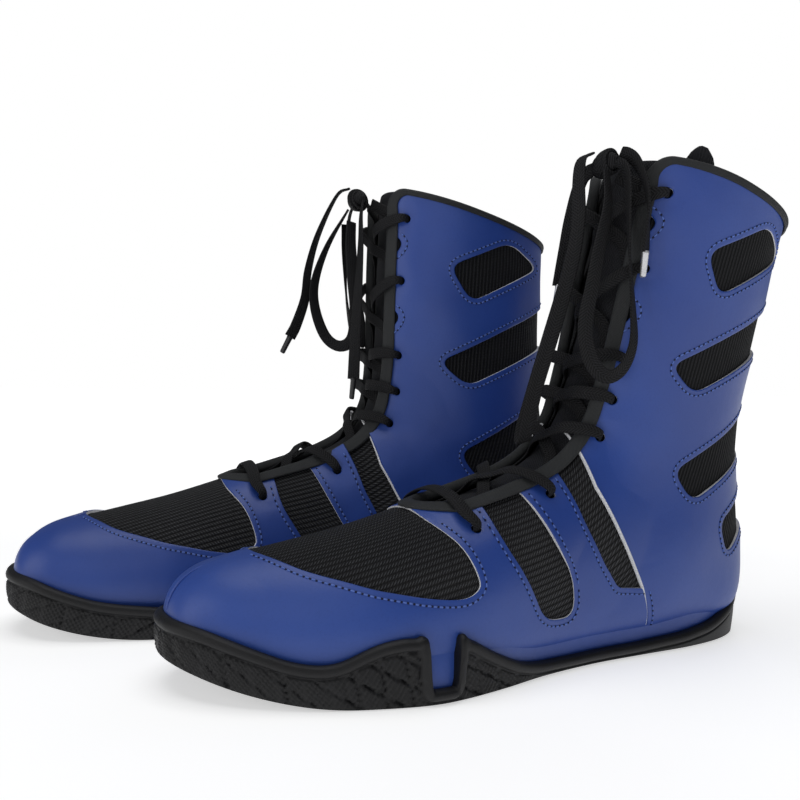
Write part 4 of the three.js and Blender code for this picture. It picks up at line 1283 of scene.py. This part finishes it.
def make_footbed(boot):
    """The footbed's outline is the inside of the lining at its height; its top is slightly
    cupped toward the sides."""
    s = lines_between(0.9 / 18, 11.4 / 18, 3.5)
    low_z = section(s)[:, 3]
    lift_low, lift_high, columns = 6.9, 10.7, 30
    middle = columns // 2
    sides = []
    for side in (MEDIAL, LATERAL):
        turns = np.linspace(np.pi, 0.5 * np.pi, 160)
        wall = layer(s[:, None], side * turns[None], -4.6)
        hit = np.argmax(wall[..., 2] > low_z[:, None] + lift_high, axis=1)
        sides.append(wall[np.arange(len(s)), hit])
    share = np.linspace(0, 1, columns)[None, :, None]
    top = sides[0][:, None] * (1 - share) + sides[1][:, None] * share
    top = np.concatenate([top, (top[-1:] - [0, -11, 0]) * [0.62, 1, 1] + [0.3, 0, 0]])
    rows = len(top)
    dish = np.linspace(-1, 1, columns)[None] ** 4
    low_z = np.append(low_z, low_z[-1] + 1)
    high = top.copy()
    high[..., 2] = (low_z + lift_high)[:, None] - 1.1 * (1 - dish)
    low = top.copy()
    low[..., 2] = (low_z + lift_low)[:, None]
    centre = low[:, middle:middle + 1, 0].copy()
    low[..., 0] = (low[..., 0] - centre) * 0.96 + centre
    points = np.concatenate([high.reshape(-1, 3), low.reshape(-1, 3)])
    piece = make_piece(boot, "footbed_pad", points,
                       slab_faces(grid_faces(rows, columns), rows * columns), [FOAM],
                       cloth=points[:, :2], sharp=50)
    return stands_for(piece, boot, "footbed")


for boot in BOOTS:
    print(make_tongue(boot).name, make_footbed(boot).name)
    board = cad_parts[f"{boot}_insole_board"]
    board.data.materials.clear()
    board.data.materials.append(BOARD)

# %% [markdown]
# ## Cup sole
#
# The sole is one moulding.  Its side wall is laid out flat: the distance round the outline is one
# parameter and the height up the wall the other.  In that flat picture the distance to the
# wall's upper edge gives the raised bead, and the panels under it get their knurling and grooves
# as real relief.

# %% Outline and wall height
LATERAL_WALL = np.array([
    [-152, 31], [-141, 29], [-126, 23.5], [-112, 18.5], [-102, 17], [-94, 18], [-85, 23], [-77, 26],
    [-63, 27.5], [-60, 26.5], [-59.0, 5.8], [-47.4, 5.8], [-46.4, 26], [-43.5, 26.5], [-36, 21],
    [-24, 14.5], [-12, 9], [0, 6.5], [20, 5.8], [60, 6], [90, 7.5], [110, 10], [128, 16],
    [140, 26], [149, 36]], float)
MEDIAL_WALL = np.array([
    [-152, 31], [-141, 29], [-126, 23.5], [-112, 19], [-100, 17], [-80, 15], [-60, 13], [-40, 10.5],
    [-20, 8], [0, 6.3], [60, 6], [90, 7.5], [110, 10], [128, 16], [140, 26], [149, 36]], float)
LATERAL_EDGE = np.array([
    [-151.5, -10], [-150, -2], [-145, 7], [-135, 17.5], [-121, 27.5], [-101, 38], [-78, 46],
    [-58, 50.5],
    [-42, 50], [-20, 46], [5, 40], [35, 36], [65, 35], [95, 34.5], [118, 31], [134, 24], [144, 14],
    [148.7, 4]], float)
MEDIAL_EDGE = np.array([
    [-151.5, -14], [-150, -22], [-145, -30.5], [-135, -39], [-121, -44], [-101, -47.5], [-78, -50],
    [-58, -49.5], [-42, -46], [-20, -40.5], [5, -35.5], [35, -33.5], [65, -33.5], [95, -34],
    [118, -31], [134, -24], [144, -14], [148.7, -4]], float)
TOE_SPRING, SPRING_START, SPRING_RUN = 14.0, -85.0, 65.0
NOTCH_Y = -53.5


def underside(y):
    """The sole lies flat and rises as a parabola under the toe."""
    return TOE_SPRING * (np.maximum(SPRING_START - y, 0) / SPRING_RUN) ** 2


def smooth_line(points, per_span=14):
    """Catmull-Rom curve through points."""
    ends = np.vstack([2 * points[0] - points[1], points, 2 * points[-1] - points[-2]])
    a, b, c, d = ends[:-3], ends[1:-2], ends[2:-1], ends[3:]
    t = np.linspace(0, 1, per_span, endpoint=False)[None, :, None]
    a, b, c, d = (v[:, None] for v in (a, b, c, d))
    curve = 0.5 * (2 * b + (c - a) * t + (2 * a - 5 * b + 4 * c - d) * t ** 2
                   + (3 * b - a - 3 * c + d) * t ** 3)
    return np.vstack([curve.reshape(-1, points.shape[1]), points[-1:]])


def blurred(values, sigma, step):
    """Gaussian blur of a row of numbers that lie `step` apart."""
    reach = int(3 * sigma / step) + 1
    weights = np.exp(-0.5 * (np.arange(-reach, reach + 1) * step / sigma) ** 2)
    return np.convolve(np.pad(values, reach, mode="edge"), weights / weights.sum(), mode="valid")


SOLE_Y = -151.4 + 300.0 * (1 - np.cos(np.linspace(0, np.pi, 640))) / 2
LATERAL_X = np.interp(SOLE_Y, *smooth_line(LATERAL_EDGE).T)
MEDIAL_X = np.interp(SOLE_Y, *smooth_line(MEDIAL_EDGE).T)
SPINE_X = (LATERAL_X + MEDIAL_X) / 2


def wall_height(y, table):
    """Height table over y, rounded strongly except at the narrow notch."""
    fine = np.arange(-153, 150, 0.25)
    raw = np.interp(fine, *table.T)
    soft, crisp = blurred(raw, 3.5, 0.25), blurred(raw, 0.45, 0.25)
    near = np.clip((14 - np.abs(fine - NOTCH_Y)) / 4, 0, 1)
    return np.maximum(np.interp(y, fine, soft * (1 - near) + crisp * near), underside(y) + 4)


# %% Relief of the wall
def nearest_edge(run, height, rows):
    """Distance in the flat picture from each wall point to the wall's upper edge, taken over the
    columns within 9 mm."""
    best = np.full((rows, len(run)), 1e9)
    up = np.linspace(0, 1, rows)[:, None] * height
    for shift in range(-16, 17):
        other_run, other_height = np.roll(run, shift), np.roll(height, shift)
        gap = np.abs(run - other_run)
        gap = np.minimum(gap, run[-1] - gap)
        best = np.minimum(best, np.hypot(gap, np.maximum(other_height - up, 0)))
    return best, up


def relief(run, y, up, edge):
    """Bead along the upper edge, then on the forefoot a panel of small pyramids crossed by
    upright and slanting grooves."""
    bead = 1.25 * np.sqrt(np.clip(1 - ((edge - 2.1) / 2.1) ** 2, 0, 1))
    gully = -0.6 * np.exp(-((edge - 4.9) / 0.55) ** 2)
    panel = np.clip((edge - 5.2) / 0.6, 0, 1) * np.clip((2 - y) / 12, 0, 1)
    knurl = 0.5 * np.sin(2 * np.pi * (run + 0.3 * up) / 2.3) * np.sin(2 * np.pi * up / 2.6)
    lean = run + 0.22 * up
    upright = np.exp(-(((lean + 0.5) % 10.5 - 5.25) / 0.8) ** 2)
    slant = np.exp(-(((run * 0.55 + up + 3) % 9.5 - 4.75) / 0.75) ** 2)
    toe = np.clip((-88 - y) / 8, 0, 1)
    toe_bar = np.exp(-((lean % 24 - 12) / 1.0) ** 2) * toe
    grooves = -1.0 * np.maximum(upright * (1 - toe), slant * (1 - 0.5 * toe)) - 0.8 * toe_bar
    return bead + gully + panel * (knurl * (1 - 0.6 * upright) + grooves)


def make_outsole(boot):
    """Rings up the wall, each ring once round the outline: bottom, wall, lip and inside."""
    y = np.concatenate([SOLE_Y, SOLE_Y[::-1]])
    x = np.concatenate([LATERAL_X, MEDIAL_X[::-1]])
    spine = np.concatenate([SPINE_X, SPINE_X[::-1]])
    height = np.concatenate([wall_height(SOLE_Y, LATERAL_WALL),
                             wall_height(SOLE_Y, MEDIAL_WALL)[::-1]])
    floor_z = underside(y)
    height = height - floor_z
    loop = np.stack([x, y], -1)
    along = np.roll(loop, -2, 0) - np.roll(loop, 2, 0)
    out = unit(np.stack([along[:, 1], -along[:, 0]], -1))
    run = run_along(loop)
    rows = 46
    edge, up = nearest_edge(run, height, rows)
    t = up / height
    lean_in = 0.011 * np.maximum(up + floor_z - 20, 0) ** 2
    side = 0.2 + 1.0 * np.sin(np.pi * np.clip(t, 0, 1) * 0.8) - lean_in
    side = side + relief(run, y, up, edge) * np.clip(t * height, 0, 1)

    def ring(offset, z):
        return np.stack([loop[:, 0] + out[:, 0] * offset, loop[:, 1] + out[:, 1] * offset, z], -1)

    def inner(share, z):
        return np.stack([spine + (x - spine) * share, y, z], -1)

    top = floor_z + height
    tuck = 0.011 * np.maximum(top - 20, 0) ** 2
    rings = [inner(0.0, floor_z + 1.2), inner(0.5, floor_z + 1.2), inner(0.96, floor_z + 0.6)]
    rings += [ring(side[k], floor_z + up[k]) for k in range(rows)]
    rings += [ring(0.1 - tuck, top + 0.35), ring(-0.9 - tuck, top + 0.3),
              ring(-4.6 - tuck, top - 0.9), ring(-4.6 - tuck, floor_z + 3.4),
              inner(0.5, floor_z + 3.4), inner(0.0, floor_z + 3.4)]
    points = np.stack(rings)
    n = len(y)
    quads = grid_faces(len(rings), n + 1)
    row, column = quads // (n + 1), quads % (n + 1) % n
    quads = row * n + column
    heights = np.broadcast_to(points[..., 2], points.shape[:2])
    cloth = np.stack([np.broadcast_to(run, heights.shape), heights], -1).reshape(-1, 2)
    piece = make_piece(boot, "cup_sole", points.reshape(-1, 3), [quads], [RUBBER], cloth=cloth,
                       sharp=60)
    return stands_for(piece, boot, "outsole")


def make_tread(boot):
    """The tread: a thin slab whose lower face has herringbone grooves and a turning circle
    under the ball of the foot."""
    rows, columns = 240, 64
    y = np.linspace(-147, 145, rows)
    low, high = np.interp(y, SOLE_Y, MEDIAL_X), np.interp(y, SOLE_Y, LATERAL_X)
    share = np.linspace(0.035, 0.965, columns)
    x = low[:, None] + (high - low)[:, None] * share
    ys = np.broadcast_to(y[:, None], x.shape)
    from_mid = np.abs(x - np.interp(y, SOLE_Y, SPINE_X)[:, None])
    bars = np.abs((ys + from_mid * 0.7) % 7.0 - 3.5) < 1.0
    disc = np.hypot(x + 2, ys + 62)
    rings_cut = np.abs(disc % 6.0 - 3.0) < 0.9
    cut = np.where(disc < 30, rings_cut, bars)
    waist = (ys > 10) & (ys < 62)
    z_low = underside(ys) + np.where(cut & ~waist, 0.9, 0.0) + np.where(waist, 0.5, 0.0)
    z_top = underside(ys) + 1.6
    bottom = np.stack([x, ys, z_low], -1).reshape(-1, 3)
    top = np.stack([x, ys, z_top], -1).reshape(-1, 3)
    points = np.concatenate([bottom, top])
    faces = slab_faces(grid_faces(rows, columns, turned=True), rows * columns)
    piece = make_piece(boot, "tread", points, faces, [RUBBER], cloth=points[:, :2], sharp=30)
    return piece


def lasting_margin(boot, label, side):
    """Leather between the overlay and the sole: at the bottom it stands just inside the sole's
    wall, and further up it runs in under the overlay."""
    y = np.linspace(-74, 122, 150)
    edge_x = np.interp(y, SOLE_Y, LATERAL_X if side > 0 else MEDIAL_X)
    z = np.linspace(4.2, 20, 24)
    s, a, _ = onto_form(side, np.stack([y, np.full(len(y), 20.0)], -1))
    top_x = layer(s, a, LEATHER_OUT)[:, 0] - side * 0.8
    t = ((z - z[0]) / (z[-1] - z[0]))[None, :]
    bottom_x = edge_x - side * 1.9
    x = bottom_x[:, None] * (1 - t ** 2) + top_x[:, None] * t ** 2
    outer = np.stack(np.broadcast_arrays(x, y[:, None], z[None, :]), -1).reshape(-1, 3)
    inner = outer - [side * 1.0, 0, 0]
    faces = slab_faces(grid_faces(len(y), len(z), turned=side > 0), len(outer))
    piece = make_piece(boot, f"lasting_margin_{label}", np.concatenate([outer, inner]), faces,
                       [LEATHER])
    return piece


for boot in BOOTS:
    for label, side in QUARTERS:
        lasting_margin(boot, label, side)
    sole, tread = make_outsole(boot), make_tread(boot)
    print(sole.name, len(sole.data.polygons), tread.name, len(tread.data.polygons))

# %% [markdown]
# ## Lace
#
# One flat braid runs through every pair of holes.  Each stretch rises from under one edge of the
# throat, crosses the tongue and drops through the hole one row up on the other side.  Places are
# (s, girth, height over the form, width), and a smooth curve runs through them.

# %% Route of the lace
LACE_OVER, LACE_UNDER, LACE_WIDE, LACE_THICK = 4.3, -3.6, 6.2, 1.3
BRAID_POINTS = 14


def crossing(row, side):
    """From under the edge opposite to `side`, over the tongue, to the hole on `side`."""
    (s0, g0), (s1, g1) = HOLES[row], HOLES[row + 1]
    rise = s1 - s0
    lift = 0.9 if side > 0 else -1.2
    return [[s0 + 0.001, -side * (g0 - 8), LACE_UNDER, LACE_WIDE],
            [s0 + rise * 0.30, -side * 12, LACE_UNDER, LACE_WIDE],
            [s0 + rise * 0.44, -side * 3.4, lift, LACE_WIDE],
            [s0 + rise * 0.56, side * 3.4, lift + 0.5, LACE_WIDE],
            [s0 + rise * 0.72, side * 11.5, LACE_OVER, LACE_WIDE],
            [s0 + rise * 0.93, side * (g1 - 6), LACE_OVER, LACE_WIDE * 0.95]]


def into_hole(row, side):
    s, g = HOLES[row]
    return [[s, side * (g - 0.4), LACE_OVER - 0.9, 4.4],
            [s, side * (g - 0.6), LACE_UNDER + 0.4, 4.2]]


def strand(side):
    """From the first row up to the knot, changing sides at every row."""
    route = into_hole(0, side)
    for row in range(len(HOLES) - 1):
        side = -side
        route += crossing(row, side) + into_hole(row + 1, side)
    s, g = HOLES[-1]
    return route + [[s + 0.003, side * (g - 8), LACE_UNDER, LACE_WIDE],
                    [s + 0.010, side * 11, -2, LACE_WIDE], [s + 0.020, side * 4, 2.4, LACE_WIDE]]


def braid(boot, name, centres, sides, widths, thick=LACE_THICK):
    """A flat braid swept along a path: a rounded rectangle of BRAID_POINTS on each ring."""
    heading = unit(np.gradient(centres, axis=0))
    sides = unit(sides - (sides * heading).sum(1, keepdims=True) * heading)
    flat = np.cross(heading, sides)
    turn = np.linspace(0, 2 * np.pi, BRAID_POINTS, endpoint=False) + 0.2
    across = np.sign(np.cos(turn)) * np.abs(np.cos(turn)) ** 0.55
    through = np.sign(np.sin(turn)) * np.abs(np.sin(turn)) ** 0.75
    wide = across[None, :, None] * widths[:, None, None] / 2
    deep = through[None, :, None] * thick / 2
    points = centres[:, None] + sides[:, None] * wide + flat[:, None] * deep
    run = run_along(centres)
    cloth = np.stack(np.broadcast_arrays(across[None] * widths[:, None] / 2, run[:, None]), -1)
    faces = [loop_faces(len(centres), BRAID_POINTS), caps(len(centres), BRAID_POINTS)]
    return points.reshape(-1, 3), faces, cloth.reshape(-1, 2), run[-1]


def make_lace(boot):
    s0, g0 = HOLES[0]
    bar = [[s0 - 0.005, k * (g0 - 7), LACE_OVER, LACE_WIDE] for k in (-1, -0.6, -0.2, 0.2, 0.6, 1)]
    stations = np.array(strand(-1)[::-1] + bar + strand(1))
    metric = stations * [520, 1, 1, 0]
    lengths = np.linalg.norm(np.diff(metric, axis=0), axis=1)
    knots = np.concatenate([[0], np.cumsum(np.maximum(lengths, 1))])
    fine = smooth_line(np.column_stack([knots, stations]), 10)
    at = np.arange(0, knots[-1], 1.5)
    s, girth, lift, wide = (np.interp(at, fine[:, 0], fine[:, k]) for k in (1, 2, 3, 4))
    centres = spot(s, girth, lift)
    normal = outward(s, angle_at(s, girth))
    uphill = unit(form(s + 0.004, 0.0) - form(s - 0.004, 0.0))
    heading = unit(np.gradient(centres, axis=0))
    flat_side = np.cross(normal, heading)
    flat_side *= np.where((flat_side * uphill).sum(1, keepdims=True) < 0, -1, 1)
    steep = np.clip((np.abs((heading * normal).sum(1)) - 0.35) / 0.4, 0, 1)[:, None]
    sides = flat_side * (1 - steep) + uphill * steep
    sides = np.stack([blurred(sides[:, k], 2.0, 1.0) for k in range(3)], -1)
    points, faces, cloth, length = braid(boot, "lace", centres, sides, wide)
    piece = make_piece(boot, "lace_in_holes", points, faces, [BRAID], cloth=cloth, sharp=75)
    print(piece.name, round(length), "mm through", 2 * len(HOLES), "holes")
    return stands_for(piece, boot, "laced_lace")


for boot in BOOTS:
    make_lace(boot)

# %% [markdown]
# ## Bow
#
# Above the top holes the two ends are tied in a bow: a wrapped knot, two loops that hang in front
# and two free ends with plastic tips.  Each loop and end is a cord swept along its route, and its
# length is measured.

# %% Routes of the loops and ends, in millimetres in the boot's frame
BOWS = {
    "left": {
        "knot": [4, 41.5, 229],
        "loop_outer": [
            [12.8, 40.3, 228.6], [17, 44, 222], [25.5, 44.5, 186], [30, 47, 161], [33, 47, 146],
            [33, 43, 135], [30.5, 37, 131], [27, 31, 136], [23, 28, 147], [21, 28, 158],
            [20, 30, 171],
            [18, 33, 190], [15, 37, 208], [11, 37, 224]],
        "loop_inner": [
            [-2, 37, 234], [-1, 31, 230], [1, 30, 218], [4, 30, 203], [6, 28, 185], [7, 24, 165],
            [8, 19, 145], [9, 14, 126], [11, 10, 108], [9, 10, 100], [4, 12, 104], [1, 18, 125],
            [-2, 25, 150], [-3, 31, 178], [-4, 35, 205], [-4, 36, 222]],
        "end_outer": [[12, 43, 233], [19, 46.5, 228], [25, 50, 215], [28, 50.5, 200],
                      [30, 49.5, 187]],
        "tip_outer": [[30, 49.5, 186.4], [31, 49, 176]],
        "end_inner": [[-4, 42, 229], [-12, 41, 224], [-19, 43, 208], [-24, 45.5, 192],
                      [-27, 46.5, 176]],
        "tip_inner": [[-27, 46.5, 175.4], [-28, 46.5, 165]],
    },
    "right": {
        "knot": [0, 41.5, 227],
        "loop_outer": [
            [8, 41, 226], [14, 39, 216], [20, 40, 196], [24, 43, 172], [25, 44, 155], [22, 42, 146],
            [17, 37, 150], [14, 34, 170], [11, 34, 196], [7, 35, 214]],
        "loop_inner": [
            [-1, 35, 221], [3, 22, 200], [6, 14, 180], [6, 13, 165], [4, 17, 150], [1, 24, 144.5],
            [-2, 31, 149], [-3, 34, 165], [-3, 34, 182], [-4, 34, 201], [-4, 35.5, 214]],
        "end_inner": [[-1, 37, 233], [2, 30, 229], [5, 18, 207], [7, 11, 187], [8, 8, 171],
                      [9.5, 2, 156],
                      [10.5, -2, 149]],
        "tip_inner": [[10.6, -2.3, 148.4], [12, -7, 140]],
        "end_outer": [[-8, 42, 225], [-10, 39.5, 216], [-10, 38, 200], [-9, 34, 170], [-9, 31, 150],
                      [-9, 28, 126]],
        "tip_outer": [[-9, 27.9, 125.4], [-9, 26, 115]],
    },
}
BOW_WIDE, BOW_THICK = 6.8, 1.3


def carried_sides(centres, first, twist):
    """Side directions carried along a path without turning about it, plus a steady twist."""
    heading = unit(np.gradient(centres, axis=0))
    side = np.asarray(first, float)
    sides = []
    for h in heading:
        side = unit(side - (side @ h) * h)
        sides.append(side)
    sides = np.array(sides)
    turn = np.radians(twist) * np.linspace(0, 1, len(centres))[:, None]
    return sides * np.cos(turn) + np.cross(heading, sides) * np.sin(turn)


def even_curve(points, step):
    curve = smooth_line(np.asarray(points, float), 24)
    run = run_along(curve)
    at = np.linspace(0, run[-1], max(int(run[-1] / step), 6))
    return np.stack([np.interp(at, run, curve[:, k]) for k in range(3)], -1)


def bow_cord(boot, part, twist):
    """One loop or end of the bow: a braid swept along its route, returned with its length."""
    centres = even_curve(BOWS[boot][part], 1.6)
    widths = np.full(len(centres), BOW_WIDE)
    near = np.linspace(0, 1, len(centres))
    widths *= 1 - 0.25 * np.exp(-(near / 0.03) ** 2)
    sides = carried_sides(centres, (0.9, 0.2, 0.1), twist)
    points, faces, cloth, length = braid(boot, part, centres, sides, widths, BOW_THICK)
    piece = make_piece(boot, f"lace_{part}", points, faces, [BRAID], cloth=cloth, sharp=75)
    path = stand(boot, centres)
    length / 1000
    return stands_for(piece, boot, f"bow_{part}"), length


def lace_tip(boot, part, material):
    """A rolled plastic sleeve with a rounded mouth at both ends."""
    start, stop = (np.array(p, float) for p in BOWS[boot][part])
    t = np.array([-0.12, -0.12, 0.0, 0.03, 0.9, 0.97, 1.0, 1.0])
    radius = np.array([0.2, 1.5, 1.75, 1.6, 1.45, 1.3, 0.9, 0.1])
    axis = stop - start
    length = np.linalg.norm(axis)
    axis /= length
    side = unit(np.cross(axis, (0.3, 1, 0.2)))
    turn = np.linspace(0, 2 * np.pi, 16, endpoint=False)
    ring = side * np.cos(turn)[:, None] + np.cross(axis, side) * np.sin(turn)[:, None]
    points = start + axis * (t * length)[:, None, None] + ring[None] * radius[:, None, None]
    piece = make_piece(boot, f"plastic_{part}", points.reshape(-1, 3),
                       [loop_faces(len(t), 16), caps(len(t), 16)], [material], sharp=40)
    return stands_for(piece, boot, f"lace_{part}")


def make_knot(boot):
    """Two wraps of the braid round a soft core."""
    centre = np.array(BOWS[boot]["knot"], float)
    parts = []
    for shift, tilt, radius in ((-2.2, 0.25, 3.9), (2.4, -0.3, 4.3), (0.2, 0.1, 4.9)):
        turn = np.linspace(0, 2 * np.pi, 60)
        ring = np.stack([np.full(60, shift) + tilt * radius * np.sin(turn), radius * np.cos(turn),
                         radius * 1.15 * np.sin(turn)], -1) + centre
        sides = np.broadcast_to([1.0, 0, 0.15], ring.shape)
        points, faces, cloth, _ = braid(boot, "knot", ring, sides, np.full(60, 5.2), 1.6)
        parts.append((points, faces, cloth))
    u, v = np.meshgrid(np.linspace(0.02, np.pi - 0.02, 22),
                       np.linspace(0, 2 * np.pi, 32, endpoint=False), indexing="ij")
    crease = 1 + 0.10 * np.sin(3 * v + 2 * u)
    core = np.stack([8.4 * np.cos(u), 4.1 * crease * np.sin(u) * np.cos(v),
                     4.8 * crease * np.sin(u) * np.sin(v)], -1).reshape(-1, 3) + centre
    parts.append((core, [loop_faces(22, 32)[:, ::-1], caps(22, 32)[:, ::-1]],
                  core[:, :2] - centre[:2]))
    points, faces, cloth, base = [], [], [], 0
    for p, fs, c in parts:
        points.append(p)
        cloth.append(c)
        faces += [f + base for f in fs]
        base += len(p)
    piece = make_piece(boot, "knot", np.concatenate(points), faces, [BRAID],
                       cloth=np.concatenate(cloth), sharp=75)
    return stands_for(piece, boot, "bow_knot")


for boot in BOOTS:
    make_knot(boot)
    for part, twist in (("loop_outer", 160), ("loop_inner", -150)):
        cord, length = bow_cord(boot, part, twist)
        print(cord.name, round(length), "mm")
    for part, twist in (("end_outer", 70), ("end_inner", -60)):
        finish = SILVER_TIP if boot == "left" else BLACK_TIP
        tip = lace_tip(boot, part.replace("end", "tip"), finish)
        cord, length = bow_cord(boot, part, twist)
        print(cord.name, round(length), "mm")
